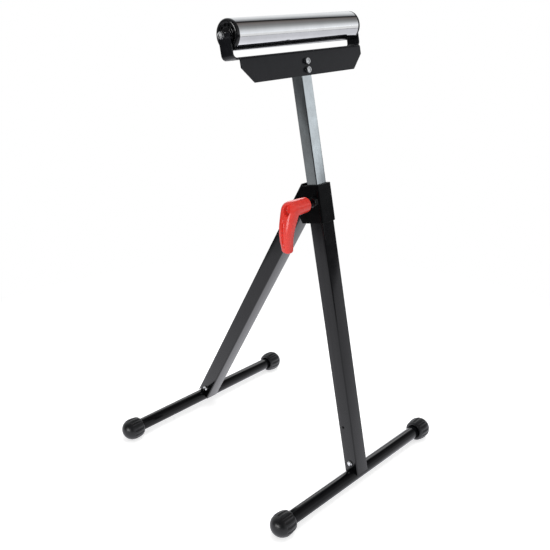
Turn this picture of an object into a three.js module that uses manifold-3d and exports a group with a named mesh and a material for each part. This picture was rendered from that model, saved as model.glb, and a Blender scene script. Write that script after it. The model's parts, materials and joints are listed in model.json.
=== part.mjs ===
// Folding roller stand: a leaning front leg with a clamped sliding post, a free roller on top of the post,
// a rear leg hinged at the collar, and a round foot tube with rubber ends under each leg.
import * as THREE from "three";
import { mergeVertices } from "three/addons/utils/BufferGeometryUtils.js";
import Module from "manifold-3d";

const wasm = await Module();
wasm.setup();

// Sizes in millimetres and degrees

// Fits shared by the whole stand
const gap = 0.3;
const holePlay = 0.5;
const cutMargin = 2;
const joinDepth = 1;
const leastRound = 0.5;

// Stance: each leg has its own frame, with its origin on the foot axis and Z along the leg
const frontLean = 12.06;
const footSpread = 434.6;

// Square tubes: the leg is sized to let the post slide inside it
const postSide = 25;
const postWall = 1.5;
const postCorner = 2.5;
const postLength = 542.5;
const slideClearance = 1.6;
const legWall = 1.5;
const legCorner = 2.5;

// Plug at the lower end of the post
const glideLength = 20;
const glideSpigot = 16;
const glideWall = 3;
const glideFloor = 6;

// Foot tubes and their stubs
const footTubeDiameter = 25;
const footTubeWall = 1.5;
const stubWall = 2;
const stubSink = 6;
const stubAboveBolt = 11.5;
const footBoltAboveTube = 13;

// Rubber feet
const footBallDiameter = 44.4;
const footBallReach = 210.5;
const footFlat = 0.4;
const footSocketLength = 19;
const footRimDiameter = 35;
const footSocketDepth = 5;
const footFluteCount = 14;
const footFluteWidth = 3.2;
const footFluteDepth = 1.3;
const footFluteStart = 4;
const footFluteEnd = 6.6;

// Leg ends over the foot tubes
const legEnd = 3;
const notchPlay = 0.9;
const notchRear = 7;
const notchFront = 30;
const ventDiameter = 5;
const ventHeight = 99;
const ventOffset = 5;

// Collar bracket and rear leg pivot
const sheet = 2.5;
const collarBottom = 495.5;
const collarHeight = 68;
const collarShoulder = 4.2;
const collarFoot = 15.2;
const earRound = 13;
const foldGap = 0.8;
const pivotAboveCollar = 38.5;
const legTopBelowCollar = 4;
const rearTopLength = 30;

// Clamp
const clampForward = 6.5;
const clampAboveCollar = 39.5;
const clampThread = 10;
const clampNutFlats = 17;
const clampNutHeight = 8;
const padDiameter = 9.4;
const padLength = 3.6;
const screwShow = 14.9;
const screwBite = 22;

// Clamp handle
const hubLength = 53;
const hubInnerDiameter = 27;
const hubOuterDiameter = 29;
const hubRound = 6;
const hubChamfer = 1;
const leverLength = 83;
const leverSwing = 18.4;
const leverRootWidth = 28;
const leverTipWidth = 17.6;
const leverRootDepth = 23;
const leverTipDepth = 16;
const leverBow = 5;
const leverHook = 4.6;
const leverHoleWidth = 12;
const leverHoleHeight = 18;
const leverHoleDepth = 7;
const leverGrooveWidth = 3;
const leverGrooveStart = 16;
const leverGrooveLength = 52;
const leverGrooveDepth = 1.8;
const leverGrooveSteps = 3;

// Roller cradle
const visiblePost = 185.8;
const cradleSheet = 2.3;
const plateHeight = 41.7;
const plateChamfer = 25;
const plateInset = 8.35;
const earWidth = 27;
const earBend = 9;
const frontBend = 4.5;
const rollerSetback = 5;
const rollerClearance = 11.3;
const earAboveAxle = 2.5;
const reliefWidth = 1.2;
const cradleBoltUpper = 15.7;
const cradleBoltPitch = 14.3;

// Roller
const rollerDiameter = 50;
const rollerWall = 1.6;
const rollerLength = 295.2;
const endPlay = 3.2;
const axleDiameter = 6;
const spacerWall = 1.3;

// Roller end caps and bearings
const capFlange = 6;
const capSpigot = 13;
const capFaceRecess = 2.6;
const capHubDiameter = 25;
const capRimWidth = 5.5;
const capRimRound = 3.5;
const capDishSlope = 1;
const capAxlePlay = 2;
const capPocketCount = 11;
const capPocketDiameter = 4.6;
const capPocketDepth = 4;
const bearingDiameter = 19;
const bearingWidth = 6;
const bearingRing = 2;
const bearingRecess = 0.6;

// Fasteners
const m8 = 8;
const m8Flats = 13;
const m8Nut = 6.2;
const m8Head = 5.3;
const m6 = 6;
const m6Flats = 10;
const m6Nut = 5;
const m6LockNut = 3.2;
const m6Head = 4;
const domeDiameter = 10.5;
const domeHeight = 3.6;
const threadStandout = 1;

// Facets round full circles, tube corners, sheet bends and the rounds of turned pieces
const fine = 28;
const medium = 24;
const coarse = 16;
const pocketSides = 6;
const hexSides = 6;
const cornerSteps = 3;
const bendSteps = 4;
const earSteps = 8;
const roundSteps = 3;
const ballSteps = 5;
const socketSteps = 3;
const leverEndSteps = 4;
const leverSteps = 8;
const mergeTolerance = 1e-4;

// Derived sizes
const legSide = postSide + 2 * slideClearance + 2 * legWall;
const legHalf = legSide / 2;
const legInner = legSide - 2 * legWall;
const postHalf = postSide / 2;
const footTubeRadius = footTubeDiameter / 2;
const ballRadius = footBallDiameter / 2;
const footAxisHeight = ballRadius - footFlat;
const footBoltHeight = footTubeRadius + footBoltAboveTube;
const stubTop = footBoltHeight + stubAboveBolt;

// Derived places of collar, pivot and clamp
const collarTop = collarBottom + collarHeight;
const collarHalf = legHalf + gap + sheet;
const legTop = collarTop - legTopBelowCollar;
const pivotSetback = legSide + foldGap;
const pivotHeight = collarBottom + pivotAboveCollar;
const clampHeight = collarBottom + clampAboveCollar;
const clampFace = collarHalf + gap;
const hubStart = clampFace + clampNutHeight + screwShow;
const hubEnd = hubStart + hubLength;

// The rear leg's lean follows from where both feet stand
const frontAngle = THREE.MathUtils.degToRad(frontLean);
const pivotRun = pivotHeight * Math.sin(frontAngle) + pivotSetback * Math.cos(frontAngle);
const pivotRise = pivotHeight * Math.cos(frontAngle) - pivotSetback * Math.sin(frontAngle);
const rearRun = footSpread - pivotRun;
const rearAngle = Math.atan2(rearRun, pivotRise);
const rearPivot = Math.hypot(rearRun, pivotRise);
const openAngle = frontAngle + rearAngle;

// Derived places of post, cradle and roller
const plateFront = postHalf + gap + cradleSheet;
const plateBottom = collarTop + visiblePost;
const cradleTop = plateBottom + plateHeight;
const postTop = cradleTop - frontBend - gap;
const postBottom = postTop - postLength;
const axleHeight = cradleTop + rollerClearance + rollerDiameter / 2;
const rollerEnd = rollerLength / 2 + capFlange;
const earInside = rollerEnd + endPlay;
const earOutside = earInside + cradleSheet;
const plateHalf = earOutside - plateInset;
const capStart = rollerLength / 2 + gap;
const bearingStart = capStart - capSpigot;
const bearingEnd = bearingStart + bearingWidth;

// Solids and meshes

function toSolid(geometry) {
  const bare = geometry.index ? geometry.toNonIndexed() : geometry.clone();
  bare.deleteAttribute("normal");
  bare.deleteAttribute("uv");
  const merged = mergeVertices(bare, mergeTolerance);
  const vertProperties = new Float32Array(merged.attributes.position.array);
  const triVerts = new Uint32Array(merged.index.array);
  return new wasm.Manifold(new wasm.Mesh({ numProp: 3, vertProperties, triVerts }));
}

function toGeometry(solid) {
  const mesh = solid.getMesh();
  const geometry = new THREE.BufferGeometry();
  geometry.setAttribute("position", new THREE.BufferAttribute(mesh.vertProperties, 3));
  geometry.setIndex(new THREE.BufferAttribute(mesh.triVerts, 1));
  geometry.computeVertexNormals();
  return geometry;
}

function addPiece(parent, name, solid, finish) {
  const mesh = new THREE.Mesh(toGeometry(solid), new THREE.MeshStandardMaterial(finish));
  mesh.name = name;
  parent.add(mesh);
  return mesh;
}

// Finishes
const satinBlack = { color: 0x2b2c2e, roughness: 0.5, metalness: 0.2 };
const glossBlack = { color: 0x17181a, roughness: 0.25, metalness: 0.2 };
const zinc = { color: 0xb9bec4, roughness: 0.38, metalness: 0.9 };
const chrome = { color: 0xe4e6e8, roughness: 0.08, metalness: 1 };
const rubber = { color: 0x242427, roughness: 0.85, metalness: 0 };
const blackSteel = { color: 0x232426, roughness: 0.45, metalness: 0.8 };
const blackPlastic = { color: 0x202124, roughness: 0.55, metalness: 0 };
const redPlastic = { color: 0xdc3b30, roughness: 0.42, metalness: 0 };
const greyPlastic = { color: 0x8a8d90, roughness: 0.6, metalness: 0 };
const steel = { color: 0xa6a9ad, roughness: 0.3, metalness: 0.95 };

// Outlines

function polygon(points) {
  return new THREE.Shape(points.map(([x, y]) => new THREE.Vector2(x, y)));
}

function roundedSquare(path, side, round) {
  const half = side / 2;
  const inner = half - round;
  path.moveTo(inner, -half);
  path.absarc(inner, -inner, round, -Math.PI / 2, 0, false);
  path.absarc(inner, inner, round, 0, Math.PI / 2, false);
  path.absarc(-inner, inner, round, Math.PI / 2, Math.PI, false);
  path.absarc(-inner, -inner, round, -Math.PI, -Math.PI / 2, false);
  path.closePath();
  return path;
}

// Points of a turned profile along an arc, as [x, radius], with separate reaches for round and oval arcs
function arcPoints([x, radius], [reachX, reachRadius], fromDegrees, toDegrees, steps = roundSteps) {
  const points = [];
  for (let i = 0; i <= steps; i++) {
    const angle = THREE.MathUtils.degToRad(THREE.MathUtils.lerp(fromDegrees, toDegrees, i / steps));
    points.push([x + reachX * Math.cos(angle), radius + reachRadius * Math.sin(angle)]);
  }
  return points;
}

// Extrusions along X, along a leg and towards the front

const alongX = new THREE.Matrix4().makeBasis(
  new THREE.Vector3(0, 1, 0),
  new THREE.Vector3(0, 0, 1),
  new THREE.Vector3(1, 0, 0),
);
const alongFront = new THREE.Matrix4().makeBasis(
  new THREE.Vector3(1, 0, 0),
  new THREE.Vector3(0, 0, 1),
  new THREE.Vector3(0, -1, 0),
);

function extrude(shape, depth, curveSegments = cornerSteps) {
  return new THREE.ExtrudeGeometry(shape, { depth, bevelEnabled: false, curveSegments });
}

function prismX(shape, fromX, toX, curveSegments) {
  const geometry = extrude(shape, toX - fromX, curveSegments).applyMatrix4(alongX);
  return toSolid(geometry.translate(fromX, 0, 0));
}

function prismFront(shape, back, front, curveSegments) {
  const geometry = extrude(shape, front - back, curveSegments).applyMatrix4(alongFront);
  return toSolid(geometry.translate(0, -back, 0));
}

function squareBar(side, corner, fromZ, toZ) {
  const shape = roundedSquare(new THREE.Shape(), side, corner);
  return toSolid(extrude(shape, toZ - fromZ).translate(0, 0, fromZ));
}

function squareTube(side, wall, corner, fromZ, toZ) {
  const shape = roundedSquare(new THREE.Shape(), side, corner);
  shape.holes.push(roundedSquare(new THREE.Path(), side - 2 * wall, Math.max(corner - wall, leastRound)));
  return toSolid(extrude(shape, toZ - fromZ).translate(0, 0, fromZ));
}

function box([fromX, toX], [fromY, toY], [fromZ, toZ]) {
  const geometry = new THREE.BoxGeometry(toX - fromX, toY - fromY, toZ - fromZ);
  return toSolid(geometry.translate((fromX + toX) / 2, (fromY + toY) / 2, (fromZ + toZ) / 2));
}

// Round and hexagonal bars along X or towards the front

function barX(diameter, fromX, toX, y, z, segments = coarse) {
  const geometry = new THREE.CylinderGeometry(diameter / 2, diameter / 2, toX - fromX, segments);
  return toSolid(geometry.rotateZ(-Math.PI / 2).translate((fromX + toX) / 2, y, z));
}

function barFront(diameter, back, front, x, z, segments = coarse) {
  const geometry = new THREE.CylinderGeometry(diameter / 2, diameter / 2, front - back, segments);
  return toSolid(geometry.translate(x, -(back + front) / 2, z));
}

function acrossCorners(flats) {
  return (2 * flats) / Math.sqrt(3);
}

function hexX(flats, fromX, toX, y, z) {
  return barX(acrossCorners(flats), fromX, toX, y, z, hexSides);
}

function hexFront(flats, back, front, x, z) {
  return barFront(acrossCorners(flats), back, front, x, z, hexSides);
}

function turnedX(profile, segments) {
  const points = profile.map(([x, radius]) => new THREE.Vector2(radius, x));
  return toSolid(new THREE.LatheGeometry(points, segments).rotateZ(-Math.PI / 2));
}

function mirrored(solid) {
  return solid.mirror([1, 0, 0]);
}

// Groups: one frame per leg and one about the roller axle
const stand = new THREE.Group();
stand.name = "roller_stand";
const frontFrame = new THREE.Group();
frontFrame.position.set(0, -footSpread / 2, footAxisHeight);
frontFrame.rotation.x = -frontAngle;
stand.add(frontFrame);
const rearFrame = new THREE.Group();
rearFrame.position.set(0, footSpread / 2, footAxisHeight);
rearFrame.rotation.x = rearAngle;
stand.add(rearFrame);
const rollerFrame = new THREE.Group();
rollerFrame.position.set(0, rollerSetback, axleHeight);
frontFrame.add(rollerFrame);

// Lower end of a leg: the side walls are cut on a slant, the front and rear walls stay as tabs over the tube
function legNotch() {
  const reach = Math.min(footTubeRadius + notchPlay, legHalf - leastRound);
  const outline = polygon([
    [-reach, legEnd - cutMargin],
    [reach, legEnd - cutMargin],
    [reach, notchRear],
    [-reach, notchFront],
  ]);
  const tubeRoom = barX(footTubeDiameter + 2 * gap, -legSide, legSide, 0, 0, medium);
  return prismX(outline, -legSide, legSide).add(tubeRoom);
}

function footBoltHole() {
  return barX(m6 + holePlay, -legSide, legSide, 0, footBoltHeight);
}

// Front leg: square tube with the notch below, a vent hole and the hole that lets the clamp pad through
function frontLeg() {
  const clampHole = barX(clampThread + holePlay, -legSide, 0, -clampForward, clampHeight);
  const vent = barX(ventDiameter, -legSide, 0, ventOffset, ventHeight);
  return squareTube(legSide, legWall, legCorner, legEnd, legTop)
    .subtract(legNotch())
    .subtract(footBoltHole())
    .subtract(vent)
    .subtract(clampHole);
}

// Angle at which a straight ear edge from (y, z) runs into the round about the pivot
function earTangent(y, z, side) {
  const dy = y - pivotSetback;
  const dz = z - pivotHeight;
  return Math.atan2(dz, dy) + side * Math.acos(earRound / Math.hypot(dy, dz));
}

// Side view of the collar bracket: upright over the leg, drawn out to a round ear about the pivot
function collarSide() {
  const foot = legHalf + collarFoot;
  const shoulder = legHalf + collarShoulder;
  const lowAngle = earTangent(foot, collarBottom, 1);
  const highAngle = earTangent(shoulder, collarTop, -1);
  const shape = new THREE.Shape();
  shape.moveTo(-collarHalf, collarBottom);
  shape.lineTo(foot, collarBottom);
  shape.absarc(pivotSetback, pivotHeight, earRound, lowAngle, highAngle, false);
  shape.lineTo(shoulder, collarTop);
  shape.lineTo(-collarHalf, collarTop);
  shape.closePath();
  return shape;
}

// Top view of the collar bracket: a sheet bent round the front of the leg
function collarWrap() {
  const reach = pivotSetback + earRound + cutMargin;
  const inside = collarHalf - sheet;
  const bend = inside - legCorner;
  const outer = legCorner + sheet;
  const shape = new THREE.Shape();
  shape.moveTo(-collarHalf, reach);
  shape.absarc(-bend, -bend, outer, -Math.PI, -Math.PI / 2, false);
  shape.absarc(bend, -bend, outer, -Math.PI / 2, 0, false);
  shape.lineTo(collarHalf, reach);
  shape.lineTo(inside, reach);
  shape.absarc(bend, -bend, legCorner, 0, -Math.PI / 2, true);
  shape.absarc(-bend, -bend, legCorner, -Math.PI / 2, -Math.PI, true);
  shape.lineTo(-inside, reach);
  shape.closePath();
  return shape;
}

// Collar bracket: one folded sheet round the front of the leg, its two ears carry the rear leg
function collarBracket() {
  const wrap = toSolid(extrude(collarWrap(), collarHeight, bendSteps).translate(0, 0, collarBottom));
  const cut = collarHalf + cutMargin;
  return wrap
    .intersect(prismX(collarSide(), -cut, cut, earSteps))
    .subtract(barX(m8 + holePlay, -cut, cut, pivotSetback, pivotHeight))
    .subtract(barX(clampThread + holePlay, -cut, 0, -clampForward, clampHeight));
}

// Clamp: nut on the collar, pad against the post, and the screw
function clampNut() {
  const end = clampFace + clampNutHeight;
  const nut = hexX(clampNutFlats, -end, -clampFace, -clampForward, clampHeight);
  return nut.subtract(barX(clampThread + 2 * gap, -end - cutMargin, 0, -clampForward, clampHeight));
}

function clampPad() {
  const tip = postHalf + gap;
  return barX(padDiameter, -tip - padLength, -tip, -clampForward, clampHeight);
}

function clampScrew() {
  const tip = postHalf + gap + padLength + gap;
  return barX(clampThread, -hubStart - screwBite, -tip, -clampForward, clampHeight);
}

function leverDepth(along) {
  return THREE.MathUtils.lerp(leverRootDepth, leverTipDepth, along);
}

function leverMiddle(along) {
  const bow = leverBow * Math.sin(Math.PI * along);
  return leverRootDepth / 2 - hubEnd - bow + leverHook * along * along;
}

// Arm of the clamp handle: a capsule drawn out into a tapered grip that bows outwards and hooks in at the tip
function leverArm() {
  const arm = new THREE.CapsuleGeometry(1 / 2, 1, leverEndSteps, coarse, leverSteps);
  const place = arm.attributes.position;
  const top = leverRootWidth / 2;
  for (let i = 0; i < place.count; i++) {
    const along = (1 - place.getY(i)) / 2;
    const width = THREE.MathUtils.lerp(leverRootWidth, leverTipWidth, along);
    const x = leverMiddle(along) + place.getX(i) * leverDepth(along);
    place.setXYZ(i, x, -place.getZ(i) * width, top - along * (leverLength + top));
  }
  return toSolid(arm);
}

function leverHub() {
  const inner = hubInnerDiameter / 2;
  const outer = hubOuterDiameter / 2;
  const profile = [
    [-hubEnd, 0],
    ...arcPoints([-hubEnd + hubRound, outer - hubRound], [hubRound, hubRound], 180, 90),
    [-hubStart - hubChamfer, inner],
    [-hubStart, inner - hubChamfer],
    [-hubStart, 0],
  ];
  return turnedX(profile, medium);
}

// Finger groove that follows the bowed outer face of the arm
function leverGroove() {
  const top = leverRootWidth / 2;
  const span = leverLength + top;
  const reach = hubEnd + leverBow + cutMargin;
  const end = leverGrooveStart + leverGrooveLength;
  const shape = new THREE.Shape();
  shape.moveTo(-reach, -end);
  shape.lineTo(-reach, -leverGrooveStart);
  for (let i = 0; i <= leverGrooveSteps; i++) {
    const down = leverGrooveStart + (leverGrooveLength * i) / leverGrooveSteps;
    const along = (top + down) / span;
    shape.lineTo(leverMiddle(along) - leverDepth(along) / 2 + leverGrooveDepth, -down);
  }
  return prismX(shape, -leverGrooveWidth / 2, leverGrooveWidth / 2).rotate([0, 0, -90]);
}

// Oval recess in the elbow of the handle
function leverHole() {
  const shape = new THREE.Shape();
  shape.absellipse(0, 0, leverHoleWidth / 2, leverHoleHeight / 2, 0, 2 * Math.PI);
  return prismX(shape, -hubEnd - cutMargin, -hubEnd + leverHoleDepth, earSteps);
}

function clampHandle() {
  const seat = clampThread + 2 * gap;
  const screwHole = barX(seat, -hubStart - screwBite - gap, -hubStart + cutMargin, 0, 0);
  const arm = leverArm().subtract(leverGroove()).rotate([leverSwing, 0, 0]);
  return leverHub()
    .add(arm)
    .subtract(leverHole().rotate([leverSwing, 0, 0]))
    .subtract(screwHole)
    .translate([0, -clampForward, clampHeight]);
}

// Sliding post, drilled for the two cradle bolts
function cradleBoltHeights() {
  const upper = cradleTop - cradleSheet - cradleBoltUpper;
  return [upper, upper - cradleBoltPitch];
}

function innerPost() {
  let post = squareTube(postSide, postWall, postCorner, postBottom, postTop);
  for (const z of cradleBoltHeights()) {
    post = post.subtract(barFront(m6 + holePlay, -postSide, postSide, 0, z));
  }
  return post;
}

// Plug that guides the lower end of the post inside the leg
function postGlide() {
  const shoulder = postBottom - gap;
  const spigotSide = postSide - 2 * postWall - 2 * gap;
  const spigotTop = postBottom + glideSpigot;
  const head = squareBar(legInner - 2 * gap, legCorner - legWall, shoulder - glideLength, shoulder);
  const spigot = squareBar(spigotSide, postCorner - postWall, shoulder - joinDepth, spigotTop);
  const hollowFrom = shoulder - glideLength + glideFloor;
  const hollow = squareBar(spigotSide - 2 * glideWall, leastRound, hollowFrom, spigotTop + cutMargin);
  return head.add(spigot).subtract(hollow);
}

// Roller cradle, front view: a strip with both ends folded up into ears
function cradleStrip() {
  const top = axleHeight + earAboveAxle;
  const bend = cradleTop - cradleSheet + earBend;
  const flat = earOutside - earBend;
  const inner = earBend - cradleSheet;
  const shape = new THREE.Shape();
  shape.moveTo(-earOutside, top);
  shape.absarc(-flat, bend, earBend, -Math.PI, -Math.PI / 2, false);
  shape.absarc(flat, bend, earBend, -Math.PI / 2, 0, false);
  shape.lineTo(earOutside, top);
  shape.lineTo(earInside, top);
  shape.absarc(flat, bend, inner, 0, -Math.PI / 2, true);
  shape.absarc(-flat, bend, inner, -Math.PI / 2, -Math.PI, true);
  shape.lineTo(-earInside, top);
  shape.closePath();
  return prismFront(shape, -rollerSetback - earWidth / 2, -rollerSetback + earWidth / 2, bendSteps);
}

// Roller cradle, side view: the strip's front edge folded down into the bolted plate
function cradleFold() {
  const rear = rollerSetback + earWidth / 2;
  const bendY = -plateFront + frontBend;
  const bendZ = cradleTop - frontBend;
  const shape = new THREE.Shape();
  shape.moveTo(rear, cradleTop - cradleSheet);
  shape.lineTo(rear, cradleTop);
  shape.absarc(bendY, bendZ, frontBend, Math.PI / 2, Math.PI, false);
  shape.lineTo(-plateFront, plateBottom);
  shape.lineTo(-plateFront + cradleSheet, plateBottom);
  shape.absarc(bendY, bendZ, frontBend - cradleSheet, Math.PI, Math.PI / 2, true);
  shape.closePath();
  return prismX(shape, -plateHalf, plateHalf, bendSteps);
}

// Outline of the plate seen from the front, with both lower corners cut off
function plateOutline() {
  const shape = polygon([
    [-plateHalf + plateChamfer, plateBottom],
    [plateHalf - plateChamfer, plateBottom],
    [plateHalf, plateBottom + plateChamfer],
    [plateHalf, cradleTop + cutMargin],
    [-plateHalf, cradleTop + cutMargin],
    [-plateHalf, plateBottom + plateChamfer],
  ]);
  return prismFront(shape, -rollerSetback - earWidth, plateFront + cutMargin);
}

// Open-topped slot that lets the axle drop into the right-hand ear
function axleSlot() {
  const width = axleDiameter + holePlay;
  const across = [rollerSetback - width / 2, rollerSetback + width / 2];
  const upward = [axleHeight, axleHeight + earAboveAxle + cutMargin];
  const round = barX(width, rollerEnd, earOutside + cutMargin, rollerSetback, axleHeight);
  return round.add(box([rollerEnd, earOutside + cutMargin], across, upward));
}

// Relief at the right-hand end that parts the folded plate from the ear's bend
function bendRelief() {
  const earFront = rollerSetback - earWidth / 2;
  const across = [earFront - reliefWidth, rollerSetback + earWidth];
  const upward = [cradleTop - 2 * cradleSheet, cradleTop + cutMargin];
  return box([earOutside - earBend, earOutside + cutMargin], across, upward);
}

function rollerCradle() {
  const relief = bendRelief();
  const slot = axleSlot();
  const fold = cradleFold().intersect(plateOutline()).subtract(relief).subtract(mirrored(relief));
  let cradle = cradleStrip().add(fold).subtract(slot).subtract(mirrored(slot));
  for (const z of cradleBoltHeights()) {
    cradle = cradle.subtract(barFront(m6 + holePlay, 0, plateFront + cutMargin, 0, z));
  }
  return cradle;
}

// Hexagon bolts through post and plate, heads behind, nuts in front
function cradleBolt(z) {
  const rearFace = -postHalf - gap;
  const end = plateFront + gap + m6Nut - threadStandout;
  const head = hexFront(m6Flats, rearFace - m6Head, rearFace, 0, z);
  return head.add(barFront(m6, rearFace - joinDepth, end, 0, z));
}

function cradleNut(z) {
  const back = plateFront + gap;
  const nut = hexFront(m6Flats, back, back + m6Nut, 0, z);
  return nut.subtract(barFront(m6 + 2 * gap, 0, back + m6Nut + cutMargin, 0, z));
}

// Roller tube, about the axle as all roller parts are
function rollerTube() {
  const outer = rollerDiameter / 2;
  const inner = outer - rollerWall;
  const half = rollerLength / 2;
  const profile = [
    [-half, inner],
    [-half, outer],
    [half, outer],
    [half, inner],
    [-half, inner],
  ];
  return turnedX(profile, fine);
}

// Ring of round pockets in the dished face of an end cap
function capPockets(ringRadius, dish) {
  const pocket = barX(capPocketDiameter, dish - capPocketDepth, rollerEnd, ringRadius, 0, pocketSides);
  const pockets = [];
  for (let i = 0; i < capPocketCount; i++) {
    pockets.push(pocket.rotate([(360 * i) / capPocketCount, 0, 0]));
  }
  return pockets;
}

// Right-hand end cap: flange with a rounded rim, dished face, and a spigot with the bearing seat
function rollerEndCap() {
  const outer = rollerDiameter / 2;
  const spigot = outer - rollerWall - gap;
  const seat = bearingDiameter / 2 + gap;
  const hub = capHubDiameter / 2;
  const dishEdge = outer - capRimWidth - capDishSlope;
  const dish = rollerEnd - capFaceRecess;
  const bore = axleDiameter / 2 + capAxlePlay;
  const profile = [
    [bearingStart, seat],
    [bearingStart, spigot],
    [capStart, spigot],
    [capStart, outer],
    ...arcPoints([rollerEnd - capRimRound, outer - capRimRound], [capRimRound, capRimRound], 90, 0),
    [rollerEnd, outer - capRimWidth],
    [dish, dishEdge],
    [dish, hub],
    [rollerEnd, hub - capDishSlope],
    [rollerEnd, bore],
    [bearingEnd + gap, bore],
    [bearingEnd + gap, seat],
    [bearingStart, seat],
  ];
  let cap = turnedX(profile, fine);
  for (const pocket of capPockets((dishEdge + hub) / 2, dish)) {
    cap = cap.subtract(pocket);
  }
  return cap;
}

// Right-hand bearing: one ring with a shield recess on its inner side
function rollerBearing() {
  const bore = axleDiameter / 2 + gap;
  const outer = bearingDiameter / 2;
  const shield = bearingStart + bearingRecess;
  const profile = [
    [bearingStart, bore],
    [bearingStart, bore + bearingRing],
    [shield, bore + bearingRing],
    [shield, outer - bearingRing],
    [bearingStart, outer - bearingRing],
    [bearingStart, outer],
    [bearingEnd, outer],
    [bearingEnd, bore],
    [bearingStart, bore],
  ];
  return turnedX(profile, coarse);
}

// Right-hand spacer between the bearing and the ear
function axleSpacer() {
  const from = bearingEnd + gap;
  const to = earInside - gap;
  const inner = axleDiameter / 2 + gap;
  const outer = inner + spacerWall;
  const profile = [
    [from, inner],
    [from, outer],
    [to, outer],
    [to, inner],
    [from, inner],
  ];
  return turnedX(profile, coarse);
}

function axleNut(start, height) {
  const nut = hexX(m6Flats, start, start + height, 0, 0);
  const bore = axleDiameter + 2 * gap;
  return nut.subtract(barX(bore, start - cutMargin, start + height + cutMargin, 0, 0));
}

// Side view of the rear leg's upper end about the pivot: cut to bear flat on the front leg when open,
// and cut back below that so that the leg can fold
function rearEndOutline() {
  const stop = pivotSetback - legHalf - gap;
  const slope = Math.sin(openAngle);
  const lean = Math.cos(openAngle);
  const heel = Math.sqrt(Math.max(stop * stop - legHalf * legHalf, leastRound)) - gap;
  const biteAlong = stop * slope + gap;
  const biteAcross = (stop - slope * biteAlong) / lean;
  const topAcross = (stop - slope * rearTopLength) / lean;
  const outside = legHalf + cutMargin;
  return polygon([
    [outside, -rearPivot],
    [outside, rearTopLength],
    [-topAcross, rearTopLength],
    [-biteAcross, biteAlong],
    [-legHalf, heel],
    [-outside, heel - joinDepth],
    [-outside, -rearPivot],
  ]);
}

function rearLeg() {
  const keep = prismX(rearEndOutline(), -legSide, legSide).translate([0, 0, rearPivot]);
  return squareTube(legSide, legWall, legCorner, legEnd, rearPivot + rearTopLength + cutMargin)
    .intersect(keep)
    .subtract(legNotch())
    .subtract(footBoltHole())
    .subtract(barX(m8 + holePlay, -legSide, legSide, 0, rearPivot));
}

// Pivot of the rear leg: head on the right, nut on the left
function pivotBolt() {
  const end = clampFace + m8Nut + 2 * threadStandout;
  const head = hexX(m8Flats, clampFace, clampFace + m8Head, pivotSetback, pivotHeight);
  return head.add(barX(m8, -end, clampFace + joinDepth, pivotSetback, pivotHeight));
}

function pivotNut() {
  const end = clampFace + m8Nut;
  const nut = hexX(m8Flats, -end, -clampFace, pivotSetback, pivotHeight);
  return nut.subtract(barX(m8 + 2 * gap, -end - cutMargin, 0, pivotSetback, pivotHeight));
}

// Foot tube with the welded stub that plugs into the leg
function footTube() {
  const end = footBallReach + footSocketDepth - gap;
  const inner = footTubeDiameter - 2 * footTubeWall;
  const bore = barX(inner, -end - cutMargin, end + cutMargin, 0, 0, medium);
  const round = barX(footTubeDiameter, -end, end, 0, 0, medium);
  const stubSide = legInner - 2 * gap;
  const stub = squareTube(stubSide, stubWall, legCorner - legWall, footTubeRadius - stubSink, stubTop);
  return round.add(stub).subtract(bore).subtract(footBoltHole());
}

// Domed bolt through leg and stub, head on the left
function footBolt() {
  const face = -legHalf - gap;
  const end = legHalf + gap + m6Nut + threadStandout;
  const profile = [
    ...arcPoints([face, 0], [domeHeight, domeDiameter / 2], 180, 90, bendSteps),
    [face, m6 / 2],
    [end, m6 / 2],
    [end, 0],
  ];
  return turnedX(profile, coarse).translate([0, 0, footBoltHeight]);
}

function footNut() {
  const from = legHalf + gap;
  const end = from + m6Nut;
  const nut = hexX(m6Flats, from, end, 0, footBoltHeight);
  return nut.subtract(barX(m6 + 2 * gap, 0, end + cutMargin, 0, footBoltHeight));
}

// Flute between two ribs of a rubber foot, on top of the foot: what a bar holds outside the flute's bed
function footFlute() {
  const from = -footSocketLength + footFluteStart;
  const rim = footRimDiameter / 2;
  const half = footFluteWidth / 2;
  const bed = turnedX(
    [
      [from, 0],
      [from, rim - footFluteDepth],
      [-footFluteStart, ballRadius - footFluteDepth],
      [footFluteEnd, ballRadius - 2 * footFluteDepth],
      [footFluteEnd, 0],
    ],
    medium,
  );
  return box([from, footFluteEnd], [-half, half], [0, ballRadius + cutMargin]).subtract(bed);
}

// Right-hand rubber foot: ball end, fluted socket that narrows to the rim, small flat to stand on
function footCap() {
  const bore = footTubeRadius + gap;
  const rim = footRimDiameter / 2;
  const profile = [
    [-footSocketLength, bore],
    ...arcPoints([0, rim], [footSocketLength, ballRadius - rim], 180, 90, socketSteps),
    ...arcPoints([0, 0], [ballRadius, ballRadius], 90, 0, ballSteps).slice(1),
    [footSocketDepth, 0],
    [footSocketDepth, bore],
    [-footSocketLength, bore],
  ];
  const flute = footFlute();
  let cap = turnedX(profile, medium);
  for (let i = 0; i < footFluteCount; i++) {
    cap = cap.subtract(flute.rotate([(360 * (i + 1 / 2)) / footFluteCount, 0, 0]));
  }
  const wide = [-footBallDiameter, footBallDiameter];
  return cap.subtract(box(wide, wide, [-footBallDiameter, -footAxisHeight]));
}

// Assembly of the front leg side
addPiece(frontFrame, "front_leg", frontLeg(), satinBlack);
addPiece(frontFrame, "collar_bracket", collarBracket(), satinBlack);
addPiece(frontFrame, "clamp_weld_nut", clampNut(), satinBlack);
addPiece(frontFrame, "clamp_pad", clampPad(), steel);
addPiece(frontFrame, "clamp_screw", clampScrew(), blackSteel);
addPiece(frontFrame, "clamp_handle", clampHandle(), redPlastic);
addPiece(frontFrame, "pivot_bolt", pivotBolt(), zinc);
addPiece(frontFrame, "pivot_nut", pivotNut(), zinc);
addPiece(frontFrame, "foot_tube_front", footTube(), glossBlack);
addPiece(frontFrame, "foot_bolt_front", footBolt(), zinc);
addPiece(frontFrame, "foot_nut_front", footNut(), zinc);

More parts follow.
